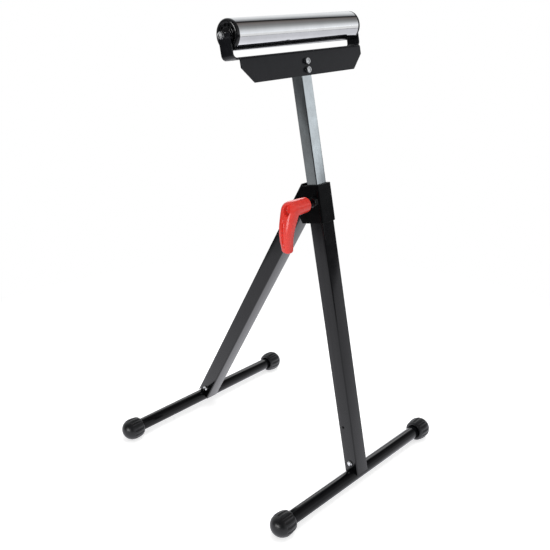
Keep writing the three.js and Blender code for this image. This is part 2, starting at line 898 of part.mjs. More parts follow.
// Assembly of the sliding post
addPiece(frontFrame, "inner_post", innerPost(), zinc);
addPiece(frontFrame, "post_glide", postGlide(), greyPlastic);
addPiece(frontFrame, "roller_cradle", rollerCradle(), satinBlack);
cradleBoltHeights().forEach((z, i) => {
  const place = ["upper", "lower"][i];
  addPiece(frontFrame, "cradle_bolt_" + place, cradleBolt(z), zinc);
  addPiece(frontFrame, "cradle_nut_" + place, cradleNut(z), zinc);
});

// Assembly of axle and roller
const nutStart = earOutside + gap;
const lockNutStart = nutStart + m6Nut + gap;
const axleEnd = lockNutStart + m6LockNut - threadStandout;
addPiece(rollerFrame, "roller_axle", barX(axleDiameter, -axleEnd, axleEnd, 0, 0), zinc);
addPiece(rollerFrame, "roller_tube", rollerTube(), chrome);
const sides = { left: mirrored, right: (solid) => solid };
for (const [side, turn] of Object.entries(sides)) {
  addPiece(rollerFrame, "axle_nut_" + side, turn(axleNut(nutStart, m6Nut)), zinc);
  addPiece(rollerFrame, "axle_lock_nut_" + side, turn(axleNut(lockNutStart, m6LockNut)), zinc);
  addPiece(rollerFrame, "axle_spacer_" + side, turn(axleSpacer()), steel);
  addPiece(rollerFrame, "roller_end_cap_" + side, turn(rollerEndCap()), blackPlastic);
  addPiece(rollerFrame, "roller_bearing_" + side, turn(rollerBearing()), steel);
}

// Assembly of the rear leg side
addPiece(rearFrame, "rear_leg", rearLeg(), satinBlack);
addPiece(rearFrame, "foot_tube_rear", footTube(), glossBlack);
addPiece(rearFrame, "foot_bolt_rear", footBolt(), zinc);
addPiece(rearFrame, "foot_nut_rear", footNut(), zinc);

// Rubber feet stand level under both foot tubes
for (const [row, y] of Object.entries({ front: -footSpread / 2, rear: footSpread / 2 })) {
  for (const [side, turn] of Object.entries(sides)) {
    const x = side === "left" ? -footBallReach : footBallReach;
    const foot = addPiece(stand, "foot_cap_" + row + "_" + side, turn(footCap()), rubber);
    foot.position.set(x, y, footAxisHeight);
  }
}

export default stand;
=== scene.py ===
import json
import math

import bmesh
import bpy
from mathutils import Matrix, Vector

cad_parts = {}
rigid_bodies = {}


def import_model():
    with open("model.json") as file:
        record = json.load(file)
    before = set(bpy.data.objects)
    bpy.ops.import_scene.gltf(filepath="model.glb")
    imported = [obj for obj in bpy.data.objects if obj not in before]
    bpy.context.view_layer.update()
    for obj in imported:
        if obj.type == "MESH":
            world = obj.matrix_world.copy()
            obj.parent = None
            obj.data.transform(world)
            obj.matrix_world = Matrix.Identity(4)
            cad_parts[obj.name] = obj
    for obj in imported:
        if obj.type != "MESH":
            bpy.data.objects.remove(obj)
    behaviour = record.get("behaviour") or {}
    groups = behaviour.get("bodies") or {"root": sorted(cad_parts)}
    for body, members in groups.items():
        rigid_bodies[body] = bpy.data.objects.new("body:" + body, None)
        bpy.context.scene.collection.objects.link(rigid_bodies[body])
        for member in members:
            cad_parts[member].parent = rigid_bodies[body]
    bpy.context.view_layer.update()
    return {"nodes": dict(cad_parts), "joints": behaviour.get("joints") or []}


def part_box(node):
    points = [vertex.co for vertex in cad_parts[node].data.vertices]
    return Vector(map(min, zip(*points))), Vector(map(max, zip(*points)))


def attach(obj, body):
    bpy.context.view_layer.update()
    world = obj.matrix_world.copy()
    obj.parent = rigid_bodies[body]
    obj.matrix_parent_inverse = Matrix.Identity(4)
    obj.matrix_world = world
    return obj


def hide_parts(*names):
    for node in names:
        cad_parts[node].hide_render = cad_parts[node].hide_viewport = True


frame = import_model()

joints = {joint["name"]: joint for joint in frame["joints"]}
print("frame loaded,", len(frame["nodes"]), "nodes")

# Fits and edges shared by all pieces, in metres
fits = {"gap": 0.0003, "holePlay": 0.0005, "margin": 0.002, "join": 0.001}
edges = {"sheet": 0.0004, "tube": 0.0003, "hardware": 0.0002, "sharpAngle": 35}


# Leaning frames of the legs and of the three axes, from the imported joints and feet
def footAxis(node):  # on the axis of a foot tube, through the middle of its rubber ball
    low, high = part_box(node)
    ball = (high.y - low.y) / 2
    return Vector((0, (low.y + high.y) / 2, high.z - ball))


def leanTo(foot, target):  # Z points from the foot axis at the target
    rise = target - foot
    return Matrix.Translation(foot) @ Matrix.Rotation(-math.atan2(rise.y, rise.z), 4, 'X')


def placeAt(leg, joint):  # same lean as the leg, with its origin on the joint's axis
    spot = leg.inverted() @ Vector(joints[joint]["pos_m"])
    return leg @ Matrix.Translation((0, spot.y, spot.z))


def nodeBox(node, place):  # corners of a CAD node in a leaning frame
    back = place.inverted()
    spots = [back @ vert.co for vert in frame["nodes"][node].data.vertices]
    low = Vector([min(spot[i] for spot in spots) for i in range(3)])
    high = Vector([max(spot[i] for spot in spots) for i in range(3)])
    return low, high


frontFoot = footAxis("foot_cap_front_left")
rearFoot = footAxis("foot_cap_rear_left")
frontPlace = leanTo(frontFoot, frontFoot + Vector(joints["post_slide"]["axis"]))
rearPlace = leanTo(rearFoot, Vector(joints["rear_leg_fold"]["pos_m"]))
rollerPlace = placeAt(frontPlace, "roller_spin")
clampPlace = placeAt(frontPlace, "clamp_turn")
pivotPlace = placeAt(frontPlace, "rear_leg_fold")
frontward = Matrix.Rotation(-math.pi / 2, 4, 'Z')  # turns a piece made along X to face the front


# Helpers that start and join shapes
def newVerts(made):
    return [item for item in made if isinstance(item, bmesh.types.BMVert)]


def newEdges(made):
    return [item for item in made if isinstance(item, bmesh.types.BMEdge)]


def looseObject(bm):  # short-lived object, for a modifier to work on
    mesh = bpy.data.meshes.new("loose")
    bm.to_mesh(mesh)
    bm.free()
    holder = bpy.data.objects.new("loose", mesh)
    bpy.context.collection.objects.link(holder)
    return holder


def settle(holder, tools=()):  # bakes the modifiers into a new bmesh and clears up
    bm = bmesh.new()
    bpy.context.view_layer.update()
    bm.from_object(holder, bpy.context.evaluated_depsgraph_get())
    for item in [holder, *tools]:
        mesh = item.data
        bpy.data.objects.remove(item)
        bpy.data.meshes.remove(mesh)
    return bm


def carve(bm, cutters, operation='DIFFERENCE'):  # boolean with one or more closed shapes
    holder = looseObject(bm)
    tools = [looseObject(cutter) for cutter in cutters]
    for tool in tools:
        cut = holder.modifiers.new("cut", 'BOOLEAN')
        cut.operation = operation
        cut.solver = 'EXACT'
        cut.object = tool
    bm = settle(holder, tools)
    bmesh.ops.remove_doubles(bm, verts=bm.verts[:], dist=1e-7)
    bmesh.ops.dissolve_limit(bm, angle_limit=math.radians(0.4), verts=bm.verts[:], edges=bm.edges[:])
    return bm


def subdivided(bm, levels):
    holder = looseObject(bm)
    finer = holder.modifiers.new("finer", 'SUBSURF')
    finer.levels = finer.render_levels = levels
    return settle(holder)


def moved(bm, matrix):
    bmesh.ops.transform(bm, matrix=matrix, verts=bm.verts[:])
    return bm


def raised(bm, faces, offset):  # extrudes faces by an offset
    made = bmesh.ops.extrude_face_region(bm, geom=faces)["geom"]
    bmesh.ops.translate(bm, vec=offset, verts=newVerts(made))
    bmesh.ops.recalc_face_normals(bm, faces=bm.faces[:])
    return bm


def roundedPlate(low, high, corner, steps=5):  # flat face in XY with four round corners
    bm = bmesh.new()
    bmesh.ops.create_grid(bm, x_segments=1, y_segments=1, size=0.5)
    size = high - low
    moved(bm, Matrix.Translation(((low.x + high.x) / 2, (low.y + high.y) / 2, 0)) @
          Matrix.Diagonal((size.x, size.y, 1, 1)))
    bmesh.ops.bevel(bm, geom=bm.verts[:], offset=corner, offset_type='OFFSET', affect='VERTICES',
                    segments=steps, profile=0.5, material=-1)
    return bm


def squareTube(low, high, corner, wall):  # hollow, from low.z to high.z
    bm = roundedPlate(low, high, corner)
    inside = bm.faces[:]
    bmesh.ops.inset_region(bm, faces=inside, thickness=wall, use_boundary=True, use_even_offset=True)
    bmesh.ops.delete(bm, geom=inside, context='FACES')
    moved(bm, Matrix.Translation((0, 0, low.z)))
    return raised(bm, bm.faces[:], (0, 0, high.z - low.z))


def prism(corners, low, high):  # outline in YZ drawn out along X
    bm = bmesh.new()
    bm.faces.new([bm.verts.new((low, y, z)) for y, z in corners])
    return raised(bm, bm.faces[:], (high - low, 0, 0))


def block(low, high):
    return prism([(low[1], low[2]), (high[1], low[2]), (high[1], high[2]), (low[1], high[2])], low[0], high[0])


def barX(radius, low, high, y=0, z=0, steps=48):
    bm = bmesh.new()
    place = Matrix.Translation(((low + high) / 2, y, z)) @ Matrix.Rotation(math.pi / 2, 4, 'Y')
    bmesh.ops.create_cone(bm, cap_ends=True, segments=steps, radius1=radius, radius2=radius,
                          depth=high - low, matrix=place)
    return bm


def turned(outline, rounds=None, steps=64, roundSteps=5):  # closed outline of (x, radius), spun about X
    bm = bmesh.new()
    corners = [bm.verts.new((x, 0, radius)) for x, radius in outline]
    bm.faces.new(corners)
    for index, radius in (rounds or {}).items():
        bmesh.ops.bevel(bm, geom=[corners[index]], offset=radius, offset_type='OFFSET', affect='VERTICES',
                        segments=roundSteps, profile=0.5, material=-1)
    bmesh.ops.delete(bm, geom=bm.faces[:], context='FACES_ONLY')
    bmesh.ops.spin(bm, geom=bm.verts[:] + bm.edges[:], cent=(0, 0, 0), axis=(1, 0, 0), dvec=(0, 0, 0),
                   angle=2 * math.pi, steps=steps, use_merge=True, use_duplicate=False)
    bmesh.ops.remove_doubles(bm, verts=bm.verts[:], dist=1e-7)
    bmesh.ops.delete(bm, geom=[edge for edge in bm.edges if not edge.link_faces], context='EDGES')
    bmesh.ops.recalc_face_normals(bm, faces=bm.faces[:])
    return bm


threads = {"rootFlat": 0.25, "crestFrom": 0.5625, "crestTo": 0.6875, "depth": 0.58, "steps": 28}


def threadedRod(radius, pitch, low, high):  # helical thread along X, cut square at both ends
    root = radius - threads["depth"] * pitch
    start = low - 2 * pitch
    turns = math.ceil((high - low) / pitch) + 3
    bm = bmesh.new()
    outline = [(0, root), (threads["rootFlat"], root), (threads["crestFrom"], radius),
               (threads["crestTo"], radius), (1, root)]
    corners = [bm.verts.new((start + share * pitch, 0, reach)) for share, reach in outline]
    for near, far in zip(corners, corners[1:]):
        bm.edges.new((near, far))
    bmesh.ops.spin(bm, geom=bm.verts[:] + bm.edges[:], cent=(0, 0, 0), axis=(1, 0, 0),
                   dvec=(pitch / threads["steps"], 0, 0), angle=2 * math.pi * turns,
                   steps=threads["steps"] * turns, use_merge=False, use_duplicate=False)
    bmesh.ops.remove_doubles(bm, verts=bm.verts[:], dist=1e-6)
    for spot, side in ((low, -1), (high, 1)):
        geom = bm.verts[:] + bm.edges[:] + bm.faces[:]
        bmesh.ops.bisect_plane(bm, geom=geom, dist=1e-8, plane_co=(spot, 0, 0), plane_no=(side, 0, 0),
                               clear_outer=True)
        rim = [edge for edge in bm.edges if edge.is_boundary and abs(edge.verts[0].co.x - spot) < 1e-6
               and abs(edge.verts[1].co.x - spot) < 1e-6]
        bmesh.ops.holes_fill(bm, edges=rim)
    bmesh.ops.recalc_face_normals(bm, faces=bm.faces[:])
    return bm


def hexagon(flats, low, high, bore=0):  # hexagon along X, points up and down, chamfered at both ends
    corner = flats / math.sqrt(3)
    ease = 0.12 * flats
    hexShape = moved(barX(corner, low, high, steps=6), Matrix.Rotation(math.pi / 2, 4, 'X'))
    seat = flats / 2 * 0.97
    reach = corner * 1.03
    cone = turned([(low, 0), (low, seat), (low + ease / 2, reach), (high - ease / 2, reach), (high, seat), (high, 0)])
    shape = carve(hexShape, [cone], 'INTERSECT')
    if bore:
        lip = 1.08 * bore
        hole = turned([(low - bore, 0), (low - bore, lip), (low, lip), (low + lip - bore, bore),
                       (high - lip + bore, bore), (high, lip), (high + bore, lip), (high + bore, 0)], steps=40)
        shape = carve(shape, [hole])
    return shape


def makePiece(node, bm, place, body, finish, edge=0, sharpAngle=edges["sharpAngle"]):
    name = "fine_" + node
    moved(bm, place)
    mesh = bpy.data.meshes.new(name)
    bm.to_mesh(mesh)
    bm.free()
    for face in mesh.polygons:
        face.use_smooth = True
    mesh.set_sharp_from_angle(angle=math.radians(sharpAngle))
    mesh.materials.append(finish)
    piece = bpy.data.objects.new(name, mesh)
    bpy.context.collection.objects.link(piece)
    if edge:
        soft = piece.modifiers.new("soft edges", 'BEVEL')
        soft.width = edge
        soft.segments = 2
        soft.profile = 0.5
        soft.limit_method = 'ANGLE'
        soft.angle_limit = math.radians(sharpAngle)
        soft.harden_normals = True
    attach(piece, body)
    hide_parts(node)
    return piece


# Finishes
def newFinish(name, metallic=0.0, ior=1.5, shine=0.5):
    finish = bpy.data.materials.new(name)
    finish.use_nodes = True
    shader = finish.node_tree.nodes["Principled BSDF"]
    shader.inputs["Metallic"].default_value = metallic
    shader.inputs["IOR"].default_value = ior
    shader.inputs["Specular IOR Level"].default_value = shine
    return finish, finish.node_tree, shader


def grain(tree, scale, stretch=(1, 1, 1), turn=(0, 0, 0), detail=4.0, rough=0.55):  # noise on Object coordinates
    spot = tree.nodes.new("ShaderNodeTexCoord")
    mapping = tree.nodes.new("ShaderNodeMapping")
    mapping.inputs["Rotation"].default_value = turn
    mapping.inputs["Scale"].default_value = stretch
    noise = tree.nodes.new("ShaderNodeTexNoise")
    noise.inputs["Scale"].default_value = scale
    noise.inputs["Detail"].default_value = detail
    noise.inputs["Roughness"].default_value = rough
    tree.links.new(spot.outputs["Object"], mapping.inputs["Vector"])
    tree.links.new(mapping.outputs["Vector"], noise.inputs["Vector"])
    return noise.outputs["Fac"]


def spread(tree, value, low, high, fromLow=0.3, fromHigh=0.7):  # maps a pattern to a range
    node = tree.nodes.new("ShaderNodeMapRange")
    node.inputs["From Min"].default_value = fromLow
    node.inputs["From Max"].default_value = fromHigh
    node.inputs["To Min"].default_value = low
    node.inputs["To Max"].default_value = high
    tree.links.new(value, node.inputs["Value"])
    return node.outputs["Result"]


def shades(tree, value, dark, light, fromLow=0.3, fromHigh=0.7):  # colour ramp between two shades
    ramp = tree.nodes.new("ShaderNodeValToRGB")
    ramp.color_ramp.elements[0].position = fromLow
    ramp.color_ramp.elements[0].color = (*dark, 1)
    ramp.color_ramp.elements[1].position = fromHigh
    ramp.color_ramp.elements[1].color = (*light, 1)
    tree.links.new(value, ramp.inputs["Fac"])
    return ramp.outputs["Color"]


def blendColour(tree, share, base, over):
    mix = tree.nodes.new("ShaderNodeMix")
    mix.data_type = 'RGBA'
    tree.links.new(share, mix.inputs["Factor"])
    tree.links.new(base, mix.inputs["A"])
    mix.inputs["B"].default_value = (*over, 1)
    return mix.outputs["Result"]


def multiply(tree, one, other):
    node = tree.nodes.new("ShaderNodeMath")
    node.operation = 'MULTIPLY'
    tree.links.new(one, node.inputs[0])
    tree.links.new(other, node.inputs[1])
    return node.outputs["Value"]


def edgeWear(tree, radius, patches):  # where the surface turns within a small radius, broken up by a pattern
    bevel = tree.nodes.new("ShaderNodeBevel")
    bevel.samples = 4
    bevel.inputs["Radius"].default_value = radius
    place = tree.nodes.new("ShaderNodeNewGeometry")
    dot = tree.nodes.new("ShaderNodeVectorMath")
    dot.operation = 'DOT_PRODUCT'
    tree.links.new(bevel.outputs["Normal"], dot.inputs[0])
    tree.links.new(place.outputs["Normal"], dot.inputs[1])
    worn = spread(tree, dot.outputs["Value"], 1, 0, 0.86, 0.985)
    return multiply(tree, worn, patches)


def bumps(tree, shader, height, strength, distance):
    bump = tree.nodes.new("ShaderNodeBump")
    bump.inputs["Strength"].default_value = strength
    bump.inputs["Distance"].default_value = distance
    tree.links.new(height, bump.inputs["Height"])
    tree.links.new(bump.outputs["Normal"], shader.inputs["Normal"])


def coatFinish(name, look):  # black paint: faint mottling, orange peel, wear along edges
    finish, tree, shader = newFinish(name, shine=look["shine"])
    mottle = grain(tree, look["mottleScale"], detail=5)
    peel = grain(tree, look["peelScale"], detail=2)
    base = shades(tree, mottle, look["dark"], look["light"])
    rubbed = edgeWear(tree, look["wearRadius"], spread(tree, grain(tree, 90), 0, look["wear"], 0.45, 0.65))
    tree.links.new(blendColour(tree, rubbed, base, look["bare"]), shader.inputs["Base Color"])
    tree.links.new(spread(tree, mottle, *look["roughness"]), shader.inputs["Roughness"])
    bumps(tree, shader, peel, look["peel"], 0.0002)
    return finish


legCoat = {"dark": (0.0042, 0.0044, 0.005), "light": (0.0075, 0.0077, 0.0085), "bare": (0.06, 0.061, 0.064),
           "mottleScale": 60, "peelScale": 900, "peel": 0.03, "roughness": (0.08, 0.13),
           "shine": 0.50, "wear": 0.5, "wearRadius": 0.0007}
collarCoat = {"dark": (0.0022, 0.0024, 0.0028), "light": (0.0038, 0.004, 0.0046), "bare": (0.05, 0.05, 0.053),
              "mottleScale": 60, "peelScale": 900, "peel": 0.05, "roughness": (0.20, 0.30),
              "shine": 0.12, "wear": 0.5, "wearRadius": 0.0007}
plateCoat = {"dark": (0.0055, 0.0057, 0.0072), "light": (0.0085, 0.0088, 0.0108), "bare": (0.09, 0.09, 0.095),
             "mottleScale": 70, "peelScale": 1100, "peel": 0.06, "roughness": (0.14, 0.22),
             "shine": 0.25, "wear": 0.5, "wearRadius": 0.0008}
tubeCoat = {"dark": (0.0022, 0.0024, 0.003), "light": (0.004, 0.0043, 0.005), "bare": (0.05, 0.05, 0.053),
            "mottleScale": 45, "peelScale": 500, "peel": 0.03, "roughness": (0.07, 0.13),
            "shine": 0.25, "wear": 0.35, "wearRadius": 0.0006}


def metalFinish(name, look):  # plated or bare metal: drawn lines, faint cloudy tint, small bumps
    finish, tree, shader = newFinish(name, metallic=1.0)
    clouds = grain(tree, look["cloudScale"], detail=5)
    lines = grain(tree, look["lineScale"], stretch=look["stretch"], turn=look.get("turn", (0, 0, 0)), detail=3)
    tree.links.new(shades(tree, clouds, look["dark"], look["light"]), shader.inputs["Base Color"])
    tree.links.new(spread(tree, lines, *look["roughness"]), shader.inputs["Roughness"])
    bumps(tree, shader, lines, look["relief"], 0.0001)
    return finish


leanTurn = (-frontPlace.to_euler().x, 0, 0)  # turns a pattern to run along the front leg
postZinc = {"dark": (0.56, 0.60, 0.615), "light": (0.70, 0.765, 0.79), "cloudScale": 45, "lineScale": 700,
            "stretch": (1, 1, 0.03), "turn": leanTurn, "roughness": (0.13, 0.22), "relief": 0.05}
boltZinc = {"dark": (0.66, 0.67, 0.67), "light": (0.80, 0.81, 0.82), "cloudScale": 300, "lineScale": 900,
            "stretch": (1, 1, 1), "roughness": (0.18, 0.30), "relief": 0.04}
rollerChrome = {"dark": (0.80, 0.81, 0.82), "light": (0.88, 0.89, 0.90), "cloudScale": 30, "lineScale": 600,
                "stretch": (1, 0.03, 0.03), "roughness": (0.05, 0.09), "relief": 0.006}
groundSteel = {"dark": (0.42, 0.43, 0.44), "light": (0.56, 0.57, 0.58), "cloudScale": 200, "lineScale": 900,
               "stretch": (1, 0.05, 0.05), "roughness": (0.25, 0.38), "relief": 0.03}
blackOxide = {"dark": (0.020, 0.020, 0.022), "light": (0.04, 0.04, 0.043), "cloudScale": 250, "lineScale": 900,
              "stretch": (1, 1, 1), "roughness": (0.30, 0.45), "relief": 0.05}


def mouldFinish(name, look):  # moulded plastic or rubber: fine spark grain and a slight bloom
    finish, tree, shader = newFinish(name, ior=look.get("ior", 1.5))
    bloom = grain(tree, look["bloomScale"], detail=5)
    pores = grain(tree, look["poreScale"], detail=3)
    base = shades(tree, bloom, look["dark"], look["light"])
    scuffs = spread(tree, grain(tree, 260, detail=6, rough=0.7), 0, look["scuff"], 0.58, 0.75)
    tree.links.new(blendColour(tree, scuffs, base, look["scuffed"]), shader.inputs["Base Color"])
    tree.links.new(spread(tree, bloom, *look["roughness"]), shader.inputs["Roughness"])
    bumps(tree, shader, pores, look["pores"], 0.0002)
    return finish


redMould = {"dark": (0.70, 0.036, 0.025), "light": (0.78, 0.050, 0.036), "scuffed": (0.85, 0.22, 0.18),
            "scuff": 0.25, "bloomScale": 70, "poreScale": 1500, "pores": 0.05, "roughness": (0.20, 0.30)}
capMould = {"dark": (0.0035, 0.0036, 0.004), "light": (0.007, 0.0072, 0.008), "scuffed": (0.03, 0.03, 0.031),
            "scuff": 0.3, "bloomScale": 120, "poreScale": 1600, "pores": 0.04, "roughness": (0.09, 0.16)}
footRubber = {"dark": (0.0045, 0.0047, 0.0055), "light": (0.009, 0.0093, 0.0108), "scuffed": (0.04, 0.039, 0.038),
              "scuff": 0.35, "bloomScale": 90, "poreScale": 1300, "pores": 0.12, "roughness": (0.26, 0.36)}
glideMould = {"dark": (0.24, 0.245, 0.25), "light": (0.31, 0.315, 0.32), "scuffed": (0.2, 0.2, 0.2),
              "scuff": 0.3, "bloomScale": 80, "poreScale": 1200, "pores": 0.1, "roughness": (0.45, 0.6)}

legPaint = coatFinish("leg_paint", legCoat)
collarPaint = coatFinish("collar_paint", collarCoat)
platePaint = coatFinish("plate_paint", plateCoat)
tubePaint = coatFinish("tube_paint", tubeCoat)
postPlating = metalFinish("post_plating", postZinc)
boltPlating = metalFinish("bolt_plating", boltZinc)
chromePlating = metalFinish("roller_chrome", rollerChrome)
bareSteel = metalFinish("ground_steel", groundSteel)
oxideSteel = metalFinish("black_oxide", blackOxide)
redPlastic = mouldFinish("red_moulding", redMould)
capPlastic = mouldFinish("cap_moulding", capMould)
rubber = mouldFinish("foot_rubber", footRubber)
glidePlastic = mouldFinish("glide_moulding", glideMould)
print("finishes made,", len(bpy.data.materials), "materials")


# Legs: square tubes, slanted over the foot tube, drilled for bolt, vent and clamp
leg = {"wall": 0.0015, "corner": 0.0025, "notchPlay": 0.0009, "notchRear": 0.007, "notchFront": 0.030,
       "bolt": 0.003, "vent": 0.0025, "ventAlong": 0.099, "ventAcross": 0.005, "clamp": 0.005, "endPlay": 0.0003,
       "rearTop": 0.030}
legHalf = nodeBox("front_leg", frontPlace)[1].x
tubeLow, tubeHigh = nodeBox("foot_tube_front", frontPlace)
footRadius = -tubeLow.z
footBoltLow, footBoltHigh = nodeBox("foot_bolt_front", frontPlace)
footBoltAlong = (footBoltLow.z + footBoltHigh.z) / 2


def legCutters(half):
    reach = footRadius + leg["notchPlay"]
    over = 2 * half
    slant = prism([(-reach, -reach), (reach, -reach), (reach, leg["notchRear"]), (-reach, leg["notchFront"])],
                  -over, over)
    room = barX(footRadius + fits["gap"], -over, over, steps=96)
    hole = barX(leg["bolt"] + fits["holePlay"] / 2, -over, over, 0, footBoltAlong)
    return [slant, room, hole]


def frontLeg():
    low, high = nodeBox("front_leg", frontPlace)
    tube = squareTube(low, high, leg["corner"], leg["wall"])
    vent = barX(leg["vent"], -2 * high.x, 0, leg["ventAcross"], leg["ventAlong"])
    spot = frontPlace.inverted() @ clampPlace.translation
    clampHole = barX(leg["clamp"] + fits["holePlay"] / 2, -2 * high.x, 0, spot.y, spot.z)
    shape = carve(tube, legCutters(high.x) + [vent, clampHole])
    return makePiece("front_leg", shape, frontPlace, "front_frame", legPaint, edges["tube"])


def rearTopCut(half, pivot):  # what is cut away so that the end bears on the front leg, and clears it folding
    stop = (pivotPlace.translation - frontPlace.translation).dot(frontPlace.to_3x3() @ Vector((0, 1, 0)))
    stop -= half + leg["endPlay"]
    openAngle = rearPlace.to_euler().x - frontPlace.to_euler().x
    slope, lean = math.sin(openAngle), math.cos(openAngle)
    heel = math.sqrt(stop ** 2 - half ** 2) - leg["endPlay"]
    bite = stop * slope + leg["endPlay"]
    across = [(stop - slope * along) / lean for along in (leg["rearTop"], bite)]
    above = leg["rearTop"] + 4 * half
    outline = [(-across[0], leg["rearTop"]), (-across[1], bite), (-half, heel), (-2 * half, heel - half),
               (-2 * half, above), (2 * half, above), (2 * half, leg["rearTop"])]
    return prism([(y, z + pivot) for y, z in outline], -2 * half, 2 * half)


def rearLeg():
    low, high = nodeBox("rear_leg", rearPlace)
    pivot = (rearPlace.inverted() @ pivotPlace.translation).z
    tube = squareTube(low, high + Vector((0, 0, fits["margin"])), leg["corner"], leg["wall"])
    pivotHole = barX(pivotBolt["radius"] + fits["holePlay"] / 2, -2 * high.x, 2 * high.x, 0, pivot)
    shape = carve(tube, [rearTopCut(high.x, pivot), pivotHole] + legCutters(high.x))
    return makePiece("rear_leg", shape, rearPlace, "rear_frame", legPaint, edges["tube"])


pivotBolt = {"radius": 0.004, "pitch": 0.00125, "flats": 0.013, "head": 0.0053, "nut": 0.0062, "thread": 0.012}
frontLeg()
rearLeg()
print("legs made")

# Collar: sheet bent round the front of the leg, its sides drawn out to round ears about the pivot
collar = {"sheet": 0.0025, "corner": 0.005, "shoulder": 0.0042, "foot": 0.0152, "ear": 0.013, "spare": 0.006}


def collarBracket():
    low, high = nodeBox("collar_bracket", frontPlace)
    pivot = frontPlace.inverted() @ pivotPlace.translation
    clamp = frontPlace.inverted() @ clampPlace.translation
    over = 2 * high.x
    foot, shoulder = legHalf + collar["foot"], legHalf + collar["shoulder"]
    wrap = squareTube(low, high + Vector((0, collar["spare"], 0)), collar["corner"], collar["sheet"])
    side = bmesh.new()
    for x in (-over, over):
        spot = Matrix.Translation((x, pivot.y, pivot.z)) @ Matrix.Rotation(math.pi / 2, 4, 'Y')
        bmesh.ops.create_circle(side, cap_ends=False, segments=96, radius=collar["ear"], matrix=spot)
        for y, z in ((-over, low.z), (foot, low.z), (shoulder, high.z), (-over, high.z)):
            side.verts.new((x, y, z))
    bmesh.ops.convex_hull(side, input=side.verts[:])
    bmesh.ops.delete(side, geom=[edge for edge in side.edges if not edge.link_faces], context='EDGES')
    bmesh.ops.delete(side, geom=[vert for vert in side.verts if not vert.link_faces], context='VERTS')
    bmesh.ops.recalc_face_normals(side, faces=side.faces[:])
    shape = carve(wrap, [side], 'INTERSECT')
    pivotHole = barX(pivotBolt["radius"] + fits["holePlay"] / 2, -over, over, pivot.y, pivot.z)
    clampHole = barX(leg["clamp"] + fits["holePlay"] / 2, -over, 0, clamp.y, clamp.z)
    shape = carve(shape, [pivotHole, clampHole])
    return makePiece("collar_bracket", shape, frontPlace, "front_frame", collarPaint, edges["sheet"])


collarBracket()


# Pivot of the rear leg: hexagon bolt with its nut on the left
def pivotHardware():
    low, high = nodeBox("pivot_bolt", pivotPlace)
    under = high.x - pivotBolt["head"]
    head = hexagon(pivotBolt["flats"], under, high.x)
    radius = pivotBolt["radius"]
    shank = turned([(low.x + pivotBolt["thread"], 0), (low.x + pivotBolt["thread"], radius),
                    (under + fits["join"], radius), (under + fits["join"], 0)], steps=48)
    thread = threadedRod(radius, pivotBolt["pitch"], low.x, low.x + pivotBolt["thread"] + fits["join"])
    bolt = carve(head, [shank, thread], 'UNION')
    makePiece("pivot_bolt", bolt, pivotPlace, "front_frame", boltPlating)
    low, high = nodeBox("pivot_nut", pivotPlace)
    nut = hexagon(pivotBolt["flats"], low.x, high.x, radius + fits["gap"])
    makePiece("pivot_nut", nut, pivotPlace, "front_frame", boltPlating, edges["hardware"])


pivotHardware()
print("collar and pivot made")

# Foot tubes with their stubs, domed bolts and nuts
footTube = {"wall": 0.0015, "stubWall": 0.002, "stubCorner": 0.001, "stubSink": 0.006}
footBolt = {"radius": 0.003, "pitch": 0.001, "flats": 0.010, "dome": 0.00525, "domeHigh": 0.0036, "thread": 0.010}


def footParts(row, place, body):
    tube, bolt, nut = ("foot_" + part + "_" + row for part in ("tube", "bolt", "nut"))
    low, high = nodeBox(tube, place)
    inner = footRadius - footTube["wall"]
    shell = turned([(low.x, inner), (low.x, footRadius), (high.x, footRadius), (high.x, inner)],
                   {1: 0.0004, 2: 0.0004}, steps=72, roundSteps=3)
    half = legHalf - leg["wall"] - fits["gap"]
    stub = squareTube(Vector((-half, -half, footRadius - footTube["stubSink"])), Vector((half, half, high.z)),
                      footTube["stubCorner"], footTube["stubWall"])
    stub = carve(stub, [barX(footRadius - footTube["wall"] / 2, -2 * half, 2 * half, steps=72)])
    shape = carve(shell, [stub], 'UNION')
    hole = barX(footBolt["radius"] + fits["holePlay"] / 2, -2 * half, 2 * half, 0, footBoltAlong)
    shape = carve(shape, [hole])
    makePiece(tube, shape, place, body, tubePaint)

    low, high = nodeBox(bolt, place)
    face = low.x + footBolt["domeHigh"]
    dome, radius = footBolt["dome"], footBolt["radius"]
    start = high.x - footBolt["thread"]
    head = turned([(low.x, 0), (low.x, dome), (face, dome), (face, radius), (start, radius), (start, 0)],
                  {1: footBolt["domeHigh"] * 0.82, 2: 0.0004}, steps=48, roundSteps=8)
    thread = threadedRod(radius, footBolt["pitch"], start - fits["join"], high.x)
    along = place @ Matrix.Translation((0, 0, footBoltAlong))
    makePiece(bolt, carve(head, [thread], 'UNION'), along, body, boltPlating)
    low, high = nodeBox(nut, place)
    shape = hexagon(footBolt["flats"], low.x, high.x, radius + fits["gap"])
    makePiece(nut, shape, along, body, boltPlating, edges["hardware"])


footParts("front", frontPlace, "front_frame")
footParts("rear", rearPlace, "rear_frame")

# Rubber feet: ball end, socket that narrows to the rim, flutes round the socket
foot = {"socket": 0.019, "rim": 0.0175, "depth": 0.005, "flutes": 14, "columns": 6, "rings": 28,
        "fluteFrom": -0.0155, "fluteTo": 0.0075, "fluteColumns": 3, "fluteEdge": 0.0005, "fluteDepth": 0.0012,
        "rimEdge": 0.0008}


